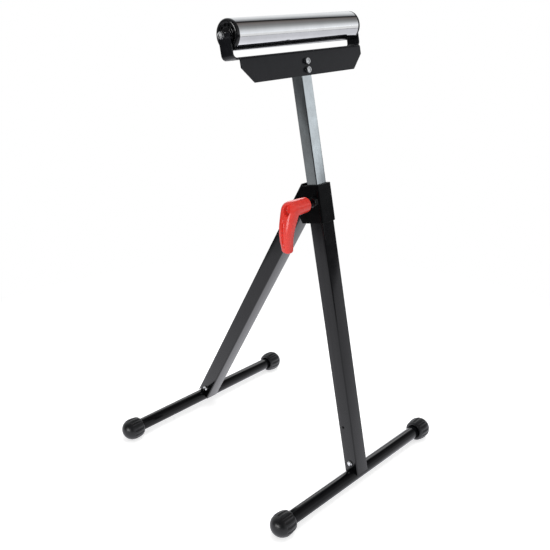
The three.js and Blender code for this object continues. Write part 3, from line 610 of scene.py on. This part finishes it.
def rubberFoot(row, side, axis, body):
    node = "foot_cap_" + row + "_" + side
    low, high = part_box(node)
    ball = (high.y - low.y) / 2
    sign = 1 if side == "right" else -1
    middle = high.x - ball if side == "right" else low.x + ball
    bm = bmesh.new()
    bmesh.ops.create_uvsphere(bm, u_segments=foot["flutes"] * foot["columns"], v_segments=foot["rings"], radius=ball,
                              matrix=Matrix.Rotation(math.pi / 2, 4, 'Y'))
    pole = [vert for vert in bm.verts if vert.co.x < -0.999 * ball]
    bmesh.ops.delete(bm, geom=pole, context='VERTS')
    for vert in bm.verts:  # the inner half of the ball becomes the socket
        if vert.co.x < 0:
            around = Vector((0, vert.co.y, vert.co.z))
            reach = foot["rim"] + (ball - foot["rim"]) * around.length / ball
            vert.co = around.normalized() * reach + Vector((vert.co.x * foot["socket"] / ball, 0, 0))
    flutes = []
    for face in bm.faces:
        centre = face.calc_center_median()
        turn = math.atan2(centre.z, centre.y) / (2 * math.pi) * foot["flutes"] % 1
        if foot["fluteFrom"] < centre.x < foot["fluteTo"] and turn * foot["columns"] < foot["fluteColumns"]:
            flutes.append(face)
    bmesh.ops.inset_region(bm, faces=flutes, thickness=foot["fluteEdge"], depth=-foot["fluteDepth"],
                           use_even_offset=True)
    bore = footRadius + fits["gap"]
    steps = [(-foot["socket"], foot["rim"] - foot["rimEdge"]), (-foot["socket"], bore + foot["rimEdge"]),
             (-foot["socket"] + foot["rimEdge"], bore), (foot["depth"] - foot["rimEdge"], bore),
             (foot["depth"], bore - foot["rimEdge"])]
    for x, reach in steps:  # over the rim, down the bore and across its bottom
        rim = [edge for edge in bm.edges if edge.is_boundary]
        made = newVerts(bmesh.ops.extrude_edge_only(bm, edges=rim)["geom"])
        for vert in made:
            vert.co = Vector((0, vert.co.y, vert.co.z)).normalized() * reach + Vector((x, 0, 0))
    bmesh.ops.holes_fill(bm, edges=[edge for edge in bm.edges if edge.is_boundary])
    bmesh.ops.recalc_face_normals(bm, faces=bm.faces[:])
    bm = subdivided(bm, 1)
    for vert in bm.verts:  # tread worn flat on the floor
        vert.co.z = max(vert.co.z, -axis.z)
    if sign < 0:
        moved(bm, Matrix.Diagonal((-1, 1, 1, 1)))
        bmesh.ops.reverse_faces(bm, faces=bm.faces[:])
    place = Matrix.Translation((middle, axis.y, axis.z))
    return makePiece(node, bm, place, body, rubber, sharpAngle=60)


for side in ("left", "right"):
    rubberFoot("front", side, frontFoot, "front_frame")
    rubberFoot("rear", side, rearFoot, "rear_frame")
print("feet made")

# Sliding post, drilled for the cradle bolts, with its hidden plug
post = {"wall": 0.0015, "corner": 0.0025}
cradleBolt = {"radius": 0.003, "pitch": 0.001, "flats": 0.010, "head": 0.004, "thread": 0.012}


def boltAlong(which):
    low, high = nodeBox("cradle_bolt_" + which, frontPlace)
    return (low.z + high.z) / 2


def crossBar(radius, reach, along):  # bar across the stand from front to back
    return moved(barX(radius, -reach, reach), Matrix.Translation((0, 0, along)) @ frontward)


def innerPost():
    low, high = nodeBox("inner_post", frontPlace)
    tube = squareTube(low, high, post["corner"], post["wall"])
    radius = cradleBolt["radius"] + fits["holePlay"] / 2
    holes = [crossBar(radius, 2 * high.y, boltAlong(which)) for which in ("upper", "lower")]
    makePiece("inner_post", carve(tube, holes), frontPlace, "post", postPlating, edges["tube"])


innerPost()

# Roller cradle: one blank, its ends bent up into ears and its front edge bent down into the plate
cradle = {"sheet": 0.0023, "earBend": 0.009, "frontBend": 0.0045, "plateHigh": 0.0417, "chamfer": 0.025,
          "plateInset": 0.00835, "earWide": 0.027, "relief": 0.0012, "earRound": 0.002, "bendSteps": 8,
          "slot": 0.00325}


def rollerCradle():
    low, high = nodeBox("roller_cradle", frontPlace)
    top = low.z + cradle["plateHigh"]
    flat = high.x - cradle["earBend"]
    front = high.y - cradle["earWide"]
    half = high.x - cradle["plateInset"]
    foldY = low.y + cradle["frontBend"]
    bm = bmesh.new()
    outline = [(0, high.y), (flat, high.y), (flat, front), (flat, front - cradle["relief"]),
               (half, front - cradle["relief"]), (half, foldY), (0, foldY)]
    corners = [bm.verts.new((x, y, top)) for x, y in outline]
    base = bm.faces.new(corners)
    earEdge = [edge for edge in base.edges if set(edge.verts) == {corners[1], corners[2]}]
    foldEdge = [edge for edge in base.edges if set(edge.verts) == {corners[5], corners[6]}]

    inner = cradle["earBend"] - cradle["sheet"]
    bend = bmesh.ops.spin(bm, geom=earEdge + corners[1:3], cent=(flat, 0, top + inner), axis=(0, 1, 0), dvec=(0, 0, 0),
                          angle=-math.pi / 2, steps=cradle["bendSteps"], use_merge=False, use_duplicate=False)
    ear = bmesh.ops.extrude_edge_only(bm, edges=newEdges(bend["geom_last"]))["geom"]
    bmesh.ops.translate(bm, vec=(0, 0, high.z - top - inner), verts=newVerts(ear))
    bend = bmesh.ops.spin(bm, geom=foldEdge + corners[5:7], cent=(0, foldY, top - cradle["frontBend"]), axis=(1, 0, 0),
                          dvec=(0, 0, 0), angle=math.pi / 2, steps=cradle["bendSteps"], use_merge=False,
                          use_duplicate=False)
    plate = bmesh.ops.extrude_edge_only(bm, edges=newEdges(bend["geom_last"]))["geom"]
    bmesh.ops.translate(bm, vec=(0, 0, low.z - top + cradle["frontBend"]), verts=newVerts(plate))
    bmesh.ops.bevel(bm, geom=newVerts(ear), offset=cradle["earRound"], offset_type='OFFSET', affect='VERTICES',
                    segments=4, profile=0.5, material=-1)
    geom = bm.verts[:] + bm.edges[:] + bm.faces[:]
    bmesh.ops.bisect_plane(bm, geom=geom, dist=1e-7, plane_co=(half, 0, low.z + cradle["chamfer"]),
                           plane_no=(1, 0, -1), clear_outer=True)
    bmesh.ops.mirror(bm, geom=bm.verts[:] + bm.edges[:] + bm.faces[:], axis='X', merge_dist=1e-6)
    bmesh.ops.remove_doubles(bm, verts=bm.verts[:], dist=1e-6)
    bmesh.ops.recalc_face_normals(bm, faces=bm.faces[:])
    flatFace = max(bm.faces, key=lambda face: abs(face.normal.z) * face.calc_area())
    if flatFace.normal.z < 0:
        bmesh.ops.reverse_faces(bm, faces=bm.faces[:])
    bmesh.ops.solidify(bm, geom=bm.faces[:], thickness=cradle["sheet"])
    bmesh.ops.recalc_face_normals(bm, faces=bm.faces[:])

    axle = frontPlace.inverted() @ rollerPlace.translation
    slot = cradle["slot"]
    cutters = []
    for end in (-1, 1):
        near, far = sorted((end * (flat + inner / 2), end * (high.x + inner)))
        cutters.append(barX(slot, near, far, axle.y, axle.z))
        cutters.append(block((near, axle.y - slot, axle.z), (far, axle.y + slot, high.z + slot)))
    radius = cradleBolt["radius"] + fits["holePlay"] / 2
    cutters += [crossBar(radius, 2 * high.y, boltAlong(which)) for which in ("upper", "lower")]
    shape = carve(bm, cutters)
    makePiece("roller_cradle", shape, frontPlace, "post", platePaint, edges["sheet"])


rollerCradle()


def cradleHardware(which):
    bolt, nut = "cradle_bolt_" + which, "cradle_nut_" + which
    along = frontPlace @ Matrix.Translation((0, 0, boltAlong(which))) @ frontward
    low, high = nodeBox(bolt, along)
    under = low.x + cradleBolt["head"]
    radius = cradleBolt["radius"]
    start = high.x - cradleBolt["thread"]
    head = hexagon(cradleBolt["flats"], low.x, under)
    shank = turned([(under - fits["join"], 0), (under - fits["join"], radius), (start, radius), (start, 0)], steps=40)
    thread = threadedRod(radius, cradleBolt["pitch"], start - fits["join"], high.x)
    makePiece(bolt, carve(head, [shank, thread], 'UNION'), along, "post", boltPlating)
    low, high = nodeBox(nut, along)
    shape = hexagon(cradleBolt["flats"], low.x, high.x, radius + fits["gap"])
    makePiece(nut, shape, along, "post", boltPlating, edges["hardware"])


for which in ("upper", "lower"):
    cradleHardware(which)
print("post and cradle made")

# Roller: chrome tube, dished end caps with a ring of pockets, bearings, axle and its nuts
roller = {"wall": 0.0016, "edge": 0.0005, "steps": 128}
cap = {"flange": 0.006, "recess": 0.0026, "hub": 0.0125, "rim": 0.0055, "rimRound": 0.0035, "slope": 0.001,
       "bore": 0.005, "pockets": 11, "pocket": 0.0023, "pocketDeep": 0.004, "seatGap": 0.0003, "bearing": 0.006}
axle = {"radius": 0.003, "pitch": 0.001, "thread": 0.020, "flats": 0.010, "chamfer": 0.0005}


def rollerTube():
    low, high = nodeBox("roller_tube", rollerPlace)
    inner = high.z - roller["wall"]
    shape = turned([(low.x, inner), (low.x, high.z), (high.x, high.z), (high.x, inner)],
                   {1: roller["edge"], 2: roller["edge"]}, steps=roller["steps"], roundSteps=4)
    makePiece("roller_tube", shape, rollerPlace, "roller", chromePlating)
    return high.z


def endCap(side, outer):
    node = "roller_end_cap_" + side
    low, high = nodeBox(node, rollerPlace)
    near, end = sorted((abs(low.x), abs(high.x)))
    bearingLow, bearingHigh = nodeBox("roller_bearing_" + side, rollerPlace)
    seat = bearingHigh.z + cap["seatGap"]
    floor = near + cap["bearing"] + cap["seatGap"]
    spigot = outer - roller["wall"] - fits["gap"]
    shoulder = end - cap["flange"] + fits["gap"]
    dish = end - cap["recess"]
    dishEdge = outer - cap["rim"] - cap["slope"]
    outline = [(near, seat), (near, spigot), (shoulder, spigot), (shoulder, outer), (end, outer),
               (end, outer - cap["rim"]), (dish, dishEdge), (dish, cap["hub"]), (end, cap["hub"] - cap["slope"]),
               (end, cap["bore"]), (floor, cap["bore"]), (floor, seat)]
    rounds = {1: 0.0006, 3: 0.0004, 4: cap["rimRound"], 5: 0.0008, 6: 0.0006, 7: 0.0006, 8: 0.0006, 9: 0.0005}
    shape = turned(outline, rounds, steps=120, roundSteps=6)
    pockets = bmesh.new()
    ring = (dishEdge + cap["hub"]) / 2
    for i in range(cap["pockets"]):
        place = (Matrix.Rotation(2 * math.pi * i / cap["pockets"], 4, 'X') @
                 Matrix.Translation((end - cap["pocketDeep"] / 2 - cap["recess"] / 2, ring, 0)) @
                 Matrix.Rotation(math.pi / 2, 4, 'Y'))
        bmesh.ops.create_cone(pockets, cap_ends=True, segments=24, radius1=cap["pocket"] * 0.55,
                              radius2=cap["pocket"] * 1.3, depth=cap["pocketDeep"] + cap["recess"], matrix=place)
    shape = carve(shape, [pockets])
    place = rollerPlace if side == "right" else rollerPlace @ Matrix.Rotation(math.pi, 4, 'Z')
    makePiece(node, shape, place, "roller", capPlastic, 0.0005, 40)


def rollerBearing(side):
    node = "roller_bearing_" + side
    low, high = nodeBox(node, rollerPlace)
    bore = axle["radius"] + fits["gap"]
    ring, deep, outer = 0.002, 0.0006, high.z
    outline = [(low.x, bore), (low.x, bore + ring), (low.x + deep, bore + ring), (low.x + deep, outer - ring),
               (low.x, outer - ring), (low.x, outer), (high.x, outer), (high.x, outer - ring),
               (high.x - deep, outer - ring), (high.x - deep, bore + ring), (high.x, bore + ring), (high.x, bore)]
    shape = turned(outline, {0: 0.0003, 5: 0.0004, 6: 0.0004, 11: 0.0003}, steps=64, roundSteps=3)
    makePiece(node, shape, rollerPlace, "roller", bareSteel)


def axleParts():
    low, high = nodeBox("roller_axle", rollerPlace)
    radius, thread, cut = axle["radius"], axle["thread"], axle["chamfer"]
    rod = turned([(low.x + thread, 0), (low.x + thread, radius), (high.x - thread, radius), (high.x - thread, 0)],
                 steps=48)
    ends = [threadedRod(radius, axle["pitch"], low.x, low.x + thread + fits["join"]),
            threadedRod(radius, axle["pitch"], high.x - thread - fits["join"], high.x)]
    blank = turned([(low.x, 0), (low.x, radius - cut), (low.x + cut, radius + cut), (high.x - cut, radius + cut),
                    (high.x, radius - cut), (high.x, 0)], steps=48)
    shape = carve(carve(rod, ends, 'UNION'), [blank], 'INTERSECT')
    makePiece("roller_axle", shape, rollerPlace, "post", boltPlating)
    for side in ("left", "right"):
        for node in ("axle_nut_" + side, "axle_lock_nut_" + side):
            low, high = nodeBox(node, rollerPlace)
            nut = hexagon(axle["flats"], low.x, high.x, radius + fits["gap"])
            makePiece(node, nut, rollerPlace, "post", boltPlating, edges["hardware"])
        node = "axle_spacer_" + side
        low, high = nodeBox(node, rollerPlace)
        inner = radius + fits["gap"]
        sleeve = turned([(low.x, inner), (low.x, high.z), (high.x, high.z), (high.x, inner)],
                        {1: 0.0003, 2: 0.0003}, steps=48, roundSteps=3)
        makePiece(node, sleeve, rollerPlace, "post", bareSteel)


rollerRadius = rollerTube()
for side in ("left", "right"):
    endCap(side, rollerRadius)
    rollerBearing(side)
axleParts()
print("roller made")

# Clamp: weld nut, screw, pad and the red handle
clamp = {"radius": 0.005, "pitch": 0.0015, "flats": 0.017, "padRound": 0.0008}


def clampHardware():
    low, high = nodeBox("clamp_weld_nut", clampPlace)
    nut = hexagon(clamp["flats"], low.x, high.x, clamp["radius"] + fits["gap"])
    makePiece("clamp_weld_nut", nut, clampPlace, "front_frame", legPaint, edges["hardware"])
    low, high = nodeBox("clamp_screw", clampPlace)
    screw = threadedRod(clamp["radius"], clamp["pitch"], low.x, high.x)
    makePiece("clamp_screw", screw, clampPlace, "clamp_lever", oxideSteel)
    low, high = nodeBox("clamp_pad", clampPlace)
    pad = turned([(low.x, 0), (low.x, high.z), (high.x, high.z), (high.x, 0)],
                 {1: clamp["padRound"], 2: clamp["padRound"]}, steps=48)
    makePiece("clamp_pad", pad, clampPlace, "clamp_tip", bareSteel)


handle = {"hubInner": 0.0135, "hubOuter": 0.0145, "elbow": 0.0160, "crook": 0.004, "rootDeep": 0.023, "tipDeep": 0.0165,
          "rootWide": 0.0140, "tipWide": 0.0088, "bow": 0.0026, "hook": 0.0075, "hubLong": 0.053, "long": 0.083,
          "swing": 18.4, "square": 5.0, "round": 2.3, "back": 4.2, "sides": 32, "elbowSteps": 4, "armSteps": 6, "voxel": 0.0005, "smooth": 8,
          "holeWide": 0.0066, "holeHigh": 0.0098, "holeDeep": 0.0095, "holeAside": -0.0022, "groove": 0.0026,
          "grooveFrom": 0.0165, "grooveLong": 0.054, "grooveDeep": 0.0034, "screwHole": 0.0053}


def handleStations(start, end):  # outer point, inner point and half width of each ring, in the handle's side view
    hubIn, hubOut, elbow, crook = (handle[key] for key in ("hubInner", "hubOuter", "elbow", "crook"))
    root = end + handle["rootDeep"]
    turnX, turnZ = end + elbow, hubOut - elbow
    crookX, crookZ = root + crook, -hubOut - crook
    rings = [((start, hubIn - 0.001), (start, 0.001 - hubIn), hubIn - 0.001, 2),
             ((start - 0.001, hubIn), (start - 0.001, -hubIn), hubIn, 2),
             ((start - 0.004, hubIn), (start - 0.004, -hubIn), hubIn, 2)]
    for i in range(handle["elbowSteps"] + 1):
        angle = math.pi / 2 * i / handle["elbowSteps"]
        outer = (turnX - elbow * math.sin(angle), turnZ + elbow * math.cos(angle))
        inner = (crookX - crook * math.sin(angle), crookZ + crook * math.cos(angle))
        share = i / handle["elbowSteps"]
        square = 2 + (handle["square"] - 2) * share
        rings.append((outer, inner, hubOut + (handle["rootWide"] - hubOut) * share, square))
    top = min(turnZ, crookZ)
    for i in range(1, handle["armSteps"] + 1):
        share = i / handle["armSteps"]
        z = top + (0.006 - handle["long"] - top) * share
        deep = handle["rootDeep"] + (handle["tipDeep"] - handle["rootDeep"]) * share
        wide = handle["rootWide"] + (handle["tipWide"] - handle["rootWide"]) * share
        out = end - handle["bow"] * math.sin(math.pi * share ** 0.7) + handle["hook"] * share ** 2
        rings.append(((out, z), (out + deep, z), wide, handle["square"]))
    (outX, z), (inX, z), wide, square = rings[-1]
    for drop, share in ((0.002, 0.97), (0.0037, 0.86), (0.0046, 0.64)):
        middle, half = (outX + inX) / 2, (inX - outX) / 2
        rings.append(((middle - half * share, z - drop), (middle + half * share, z - drop), wide * share, square))
    return rings


def ringMatrix(ring):  # unit circle to a ring of the handle
    outer, inner, wide, square = ring
    outer, inner = Vector((outer[0], 0, outer[1])), Vector((inner[0], 0, inner[1]))
    across = (outer - inner) / 2
    matrix = Matrix.Identity(4)
    matrix.col[0] = (0, wide, 0, 0)
    matrix.col[1] = (*across, 0)
    matrix.col[2] = (*Vector((0, 1, 0)).cross(across.normalized()), 0)
    matrix.col[3] = (*((outer + inner) / 2), 1)
    return matrix


def ringSpot(ring, spot):  # squares a point of the unit circle and puts it on a ring, roundest at the outer front
    square = ring[3]
    if spot.y > 0:
        square = min(square, handle["round"] if spot.x < 0 else handle["back"])
    spot = spot / (abs(spot.x) ** square + abs(spot.y) ** square) ** (1 / square)
    return ringMatrix(ring) @ spot


def clampHandle():
    low, high = nodeBox("clamp_handle", clampPlace)
    end = high.x - handle["hubLong"]
    rings = handleStations(high.x, end)
    bm = bmesh.new()
    bmesh.ops.create_circle(bm, cap_ends=True, segments=handle["sides"], radius=1)
    moved(bm, ringMatrix(rings[0]))
    cap = bm.faces[:]
    for before, ring in zip(rings, rings[1:]):  # draw the end face on from ring to ring
        made = bmesh.ops.extrude_face_region(bm, geom=cap)["geom"]
        bmesh.ops.delete(bm, geom=[face for face in cap if face.is_valid and before != rings[0]], context='FACES')
        cap = [item for item in made if isinstance(item, bmesh.types.BMFace)]
        back = ringMatrix(before).inverted()
        for vert in newVerts(made):
            spot = back @ vert.co
            vert.co = ringSpot(ring, Vector((spot.x, spot.y, 0)).normalized())
    bmesh.ops.recalc_face_normals(bm, faces=bm.faces[:])
    bm = subdivided(bm, 2)

    far, near = end - 0.01, end + handle["holeDeep"]
    hole = moved(barX(1, far, near), Matrix.Translation((0, handle["holeAside"], 0)) @
                 Matrix.Diagonal((1, handle["holeWide"], handle["holeHigh"], 1)))
    screwLow, screwHigh = nodeBox("clamp_screw", clampPlace)
    bore = barX(handle["screwHole"], screwLow.x - fits["gap"], high.x + 0.01)
    bm = carve(bm, [hole, bore])

    holder = looseObject(bm)
    skin = holder.modifiers.new("skin", 'REMESH')
    skin.mode = 'VOXEL'
    skin.voxel_size = handle["voxel"]
    soft = holder.modifiers.new("soft", 'SMOOTH')
    soft.factor = 0.5
    soft.iterations = handle["smooth"]
    bm = settle(holder)
    bm.normal_update()
    for vert in bm.verts:  # groove pressed along the outer face
        along = (-vert.co.z - handle["grooveFrom"]) / handle["grooveLong"]
        across = abs(vert.co.y) / handle["groove"]
        if vert.normal.x < -0.5 and 0 < along < 1 and across < 1:
            ends = min(1, along * 6, (1 - along) * 6)
            vert.co.x += handle["grooveDeep"] * (1 - across ** 4) * math.sin(ends * math.pi / 2)
    turn = clampPlace @ Matrix.Rotation(math.radians(handle["swing"]), 4, 'X')
    makePiece("clamp_handle", bm, turn, "clamp_lever", redPlastic, sharpAngle=70)


clampHardware()
clampHandle()
print("clamp made")

# Hidden plug keeps its CAD shape
for node, finish in (("post_glide", glidePlastic),):
    frame["nodes"][node].data.materials.clear()
    frame["nodes"][node].data.materials.append(finish)

# Stage: white floor, soft boxes, studio surroundings and the photograph's camera
stage = {"floorHalf": 6.0, "floorColour": 0.90, "floorLift": 0.60, "ambient": 0.50,
         "whiteFrom": 0.45, "whiteTo": 1.1}
floorNear = [(0.0, 1.4), (0.03, 1.4), (0.08, 1.0), (0.13, 0.80), (0.25, 0.64), (1.0, 0.60)]
floorFar = [(0.0, 1.0), (0.42, 1.0), (0.49, 0.10), (1.0, 0.08)]  # both by share of the floor's half width
nearMiddle, farMiddle = (0.25, 0.08, 0), (1.02, -0.95, 0)  # middles of the lit floor


def falloff(tree, middle, levels):  # brightness by distance over the floor
    spot = tree.nodes.new("ShaderNodeTexCoord")
    mapping = tree.nodes.new("ShaderNodeMapping")
    mapping.inputs["Location"].default_value = [-part for part in middle]
    away = tree.nodes.new("ShaderNodeVectorMath")
    away.operation = 'LENGTH'
    ramp = tree.nodes.new("ShaderNodeValToRGB")
    while len(ramp.color_ramp.elements) < len(levels):
        ramp.color_ramp.elements.new(0.5)
    for element, (position, level) in zip(ramp.color_ramp.elements, levels):
        element.position = position
        element.color = (level, level, level, 1)
    tree.links.new(spot.outputs["Object"], mapping.inputs["Vector"])
    tree.links.new(mapping.outputs["Vector"], away.inputs[0])
    tree.links.new(spread(tree, away.outputs["Value"], 0, 1, 0, stage["floorHalf"]), ramp.inputs["Fac"])
    return ramp.outputs["Color"]


def floorPlate():
    bm = bmesh.new()
    bmesh.ops.create_grid(bm, x_segments=1, y_segments=1, size=stage["floorHalf"])
    mesh = bpy.data.meshes.new("floor")
    bm.to_mesh(mesh)
    bm.free()
    floor = bpy.data.objects.new("floor", mesh)
    bpy.context.collection.objects.link(floor)
    finish = bpy.data.materials.new("white_floor")
    finish.use_nodes = True
    tree = finish.node_tree
    shader = tree.nodes["Principled BSDF"]
    shader.inputs["Base Color"].default_value = (*[stage["floorColour"]] * 3, 1)
    shader.inputs["Roughness"].default_value = 0.9
    shader.inputs["Specular IOR Level"].default_value = 0.1
    path = tree.nodes.new("ShaderNodeLightPath")
    spot = tree.nodes.new("ShaderNodeTexCoord")
    away = tree.nodes.new("ShaderNodeVectorMath")
    away.operation = 'LENGTH'
    tree.links.new(spot.outputs["Object"], away.inputs[0])

    lift = tree.nodes.new("ShaderNodeEmission")
    lift.inputs["Strength"].default_value = stage["floorLift"]
    lit = tree.nodes.new("ShaderNodeAddShader")
    tree.links.new(shader.outputs["BSDF"], lit.inputs[0])
    tree.links.new(lift.outputs["Emission"], lit.inputs[1])
    white = tree.nodes.new("ShaderNodeEmission")
    seen = tree.nodes.new("ShaderNodeMixShader")  # seen from the camera: white further out
    tree.links.new(spread(tree, away.outputs["Value"], 0, 1, stage["whiteFrom"], stage["whiteTo"]), seen.inputs["Fac"])
    tree.links.new(lit.outputs["Shader"], seen.inputs[1])
    tree.links.new(white.outputs["Emission"], seen.inputs[2])

    fade = multiply(tree, falloff(tree, nearMiddle, floorNear), falloff(tree, farMiddle, floorFar))
    mirrored = tree.nodes.new("ShaderNodeEmission")  # seen in the metal and paint: darker further out
    mirrored.inputs["Color"].default_value = (0.985, 0.985, 1.04, 1)
    tree.links.new(fade, mirrored.inputs["Strength"])

    glossy = tree.nodes.new("ShaderNodeMixShader")
    tree.links.new(path.outputs["Is Glossy Ray"], glossy.inputs["Fac"])
    tree.links.new(shader.outputs["BSDF"], glossy.inputs[1])
    tree.links.new(mirrored.outputs["Emission"], glossy.inputs[2])
    final = tree.nodes.new("ShaderNodeMixShader")
    tree.links.new(clearRays(tree, path), final.inputs["Fac"])
    tree.links.new(glossy.outputs["Shader"], final.inputs[1])
    tree.links.new(seen.outputs["Shader"], final.inputs[2])
    tree.links.new(final.outputs["Shader"], tree.nodes["Material Output"].inputs["Surface"])
    mesh.materials.append(finish)


def clearRays(tree, path):  # rays of the camera, also through anything clear
    both = tree.nodes.new("ShaderNodeMath")
    both.operation = 'MAXIMUM'
    tree.links.new(path.outputs["Is Camera Ray"], both.inputs[0])
    tree.links.new(path.outputs["Is Transmission Ray"], both.inputs[1])
    return both.outputs["Value"]


# Surroundings by angle over the stand: 0.25 front, 0.5 overhead, 0.75 back, the rest below the horizon
studio = [(0.0, (0.08, 0.08, 0.085)), (0.2535, (0.08, 0.08, 0.085)), (0.2585, (0.97, 0.99, 1.02)),
          (0.311, (0.70, 0.71, 0.73)), (0.356, (0.37, 0.375, 0.38)), (0.40, (0.22, 0.22, 0.22)),
          (0.444, (0.18, 0.165, 0.16)), (0.474, (0.11, 0.095, 0.09)), (0.484, (0.02, 0.02, 0.02)),
          (0.507, (0.02, 0.02, 0.02)), (0.522, (0.25, 0.25, 0.26)), (0.558, (0.50, 0.51, 0.52)),
          (0.602, (0.74, 0.75, 0.76)), (0.64, (0.84, 0.85, 0.86)), (0.77, (0.84, 0.85, 0.86)),
          (0.785, (0.05, 0.05, 0.05)), (1.0, (0.03, 0.03, 0.032))]


def surroundings():
    world = bpy.data.worlds.new("studio")
    bpy.context.scene.world = world
    world.use_nodes = True
    tree = world.node_tree
    out = tree.nodes["World Output"]
    ambient = tree.nodes["Background"]
    ambient.inputs["Color"].default_value = (1, 1, 1, 1)
    ambient.inputs["Strength"].default_value = stage["ambient"]
    spot = tree.nodes.new("ShaderNodeTexCoord")
    split = tree.nodes.new("ShaderNodeSeparateXYZ")
    tree.links.new(spot.outputs["Generated"], split.inputs["Vector"])
    angle = tree.nodes.new("ShaderNodeMath")
    angle.operation = 'ARCTAN2'
    tree.links.new(split.outputs["Y"], angle.inputs[0])
    tree.links.new(split.outputs["Z"], angle.inputs[1])
    share = spread(tree, angle.outputs["Value"], 0, 1, -math.pi, math.pi)
    ramp = tree.nodes.new("ShaderNodeValToRGB")
    while len(ramp.color_ramp.elements) < len(studio):
        ramp.color_ramp.elements.new(0.5)
    for element, (position, colour) in zip(ramp.color_ramp.elements, studio):
        element.position = position
        element.color = (*colour, 1)
    tree.links.new(share, ramp.inputs["Fac"])
    mirror = tree.nodes.new("ShaderNodeBackground")
    tree.links.new(ramp.outputs["Color"], mirror.inputs["Color"])
    tree.links.new(spread(tree, split.outputs["X"], 0.12, 1, -0.5, -0.2), mirror.inputs["Strength"])  # dark to the left
    white = tree.nodes.new("ShaderNodeBackground")
    white.inputs["Color"].default_value = (1, 1, 1, 1)
    path = tree.nodes.new("ShaderNodeLightPath")
    glossy = tree.nodes.new("ShaderNodeMixShader")
    tree.links.new(path.outputs["Is Glossy Ray"], glossy.inputs["Fac"])
    tree.links.new(ambient.outputs["Background"], glossy.inputs[1])
    tree.links.new(mirror.outputs["Background"], glossy.inputs[2])
    final = tree.nodes.new("ShaderNodeMixShader")
    tree.links.new(clearRays(tree, path), final.inputs["Fac"])
    tree.links.new(glossy.outputs["Shader"], final.inputs[1])
    tree.links.new(white.outputs["Background"], final.inputs[2])
    tree.links.new(final.outputs["Shader"], out.inputs["Surface"])


softBoxes = {"left": {"from": (-2.3, -1.0, 1.4), "at": (0, 0, 0.4), "size": (1.2, 1.2), "power": 7},
             "top": {"from": (0.3, -0.3, 2.9), "at": (0, 0, 0.4), "size": (1.8, 1.8), "power": 26},
             "right": {"from": (2.2, -2.2, 1.5), "at": (0, 0, 0.4), "size": (1.2, 1.2), "power": 11},
             "feet": {"from": (-2.3, -0.05, 0.55), "at": (-0.1, -0.1, 0.05), "size": (1.4, 0.5), "power": 16,
                      "only": ("foot_cap", "foot_bolt")},
             "tubes": {"from": (1.6, 1.5, 1.5), "at": (0, 0, 0), "size": (2.4, 1.0), "power": 16,
                       "only": ("foot_tube", "clamp_handle")},
             "caps": {"from": (-2.37, 0.98, 1.30), "at": (-0.15, -0.04, 0.83), "size": (0.8, 0.7), "power": 20,
                      "only": ("roller_end_cap",)},
             "roll": {"from": (2.16, -2.05, 0.60), "at": (0, -0.04, 0.83), "size": (2.6, 0.65), "power": 3.9,
                      "only": ("roller_tube", "cradle_")},
             "post": {"from": (-2.0, 1.8, 0.02), "at": (-2.0, 1.8, 1), "size": (2.0, 2.0), "power": 2.4,
                      "only": ("inner_post",)},
             "plate": {"from": (-2.3, -0.9, 0.80), "at": (-0.08, -0.13, 0.52), "size": (0.6, 0.8), "power": 15,
                       "only": ("roller_cradle", "clamp_screw", "clamp_weld")},
             "grip": {"from": (-1.15, -0.44, 0.24), "at": (-0.08, -0.13, 0.52), "size": (0.5, 0.42), "power": 5,
                      "only": ("clamp_handle",)},
             "heads": {"from": (-1.57, 1.57, 1.94), "at": (0, -0.07, 0.78), "size": (0.9, 0.9), "power": 3,
                       "only": ("cradle_",)},
             "ends": {"from": (-1.9, 1.7, 0.75), "at": (-0.16, -0.04, 0.83), "size": (1.8, 1.2), "power": 4.5,
                      "only": ("axle_", "roller_axle")}}


def lamps():
    for name, box in softBoxes.items():
        light = bpy.data.lights.new(name + "_box", 'AREA')
        light.shape = 'RECTANGLE'
        light.size, light.size_y = box["size"]
        light.energy = box["power"]
        lamp = bpy.data.objects.new(name + "_box", light)
        lamp.location = box["from"]
        lamp.visible_glossy = "only" in box
        if "only" in box:  # mirrored in these pieces, and lights nothing else
            lamp.visible_camera = False
            lamp.light_linking.receiver_collection = bpy.data.collections.new(name + "_lit")
            for piece in bpy.data.objects:
                if piece.name.startswith(tuple("fine_" + start for start in box["only"])):
                    lamp.light_linking.receiver_collection.objects.link(piece)
        lamp.rotation_euler = (Vector(box["at"]) - lamp.location).to_track_quat('-Z', 'Y').to_euler()
        bpy.context.collection.objects.link(lamp)


view = {"from": (-1.0005, -0.9565, 0.9250), "pitch": -0.3802, "yaw": 0.8067, "lens": 50.085, "sensor": 36}


def photoCamera():
    data = bpy.data.cameras.new("camera")
    data.lens = view["lens"]
    data.sensor_width = view["sensor"]
    camera = bpy.data.objects.new("camera", data)
    camera.location = view["from"]
    camera.rotation_euler = (math.pi / 2 + view["pitch"], 0, -view["yaw"])
    bpy.context.collection.objects.link(camera)
    bpy.context.scene.camera = camera


floorPlate()
surroundings()
lamps()
photoCamera()
bpy.context.scene.view_settings.view_transform = 'Standard'
print("stage set")
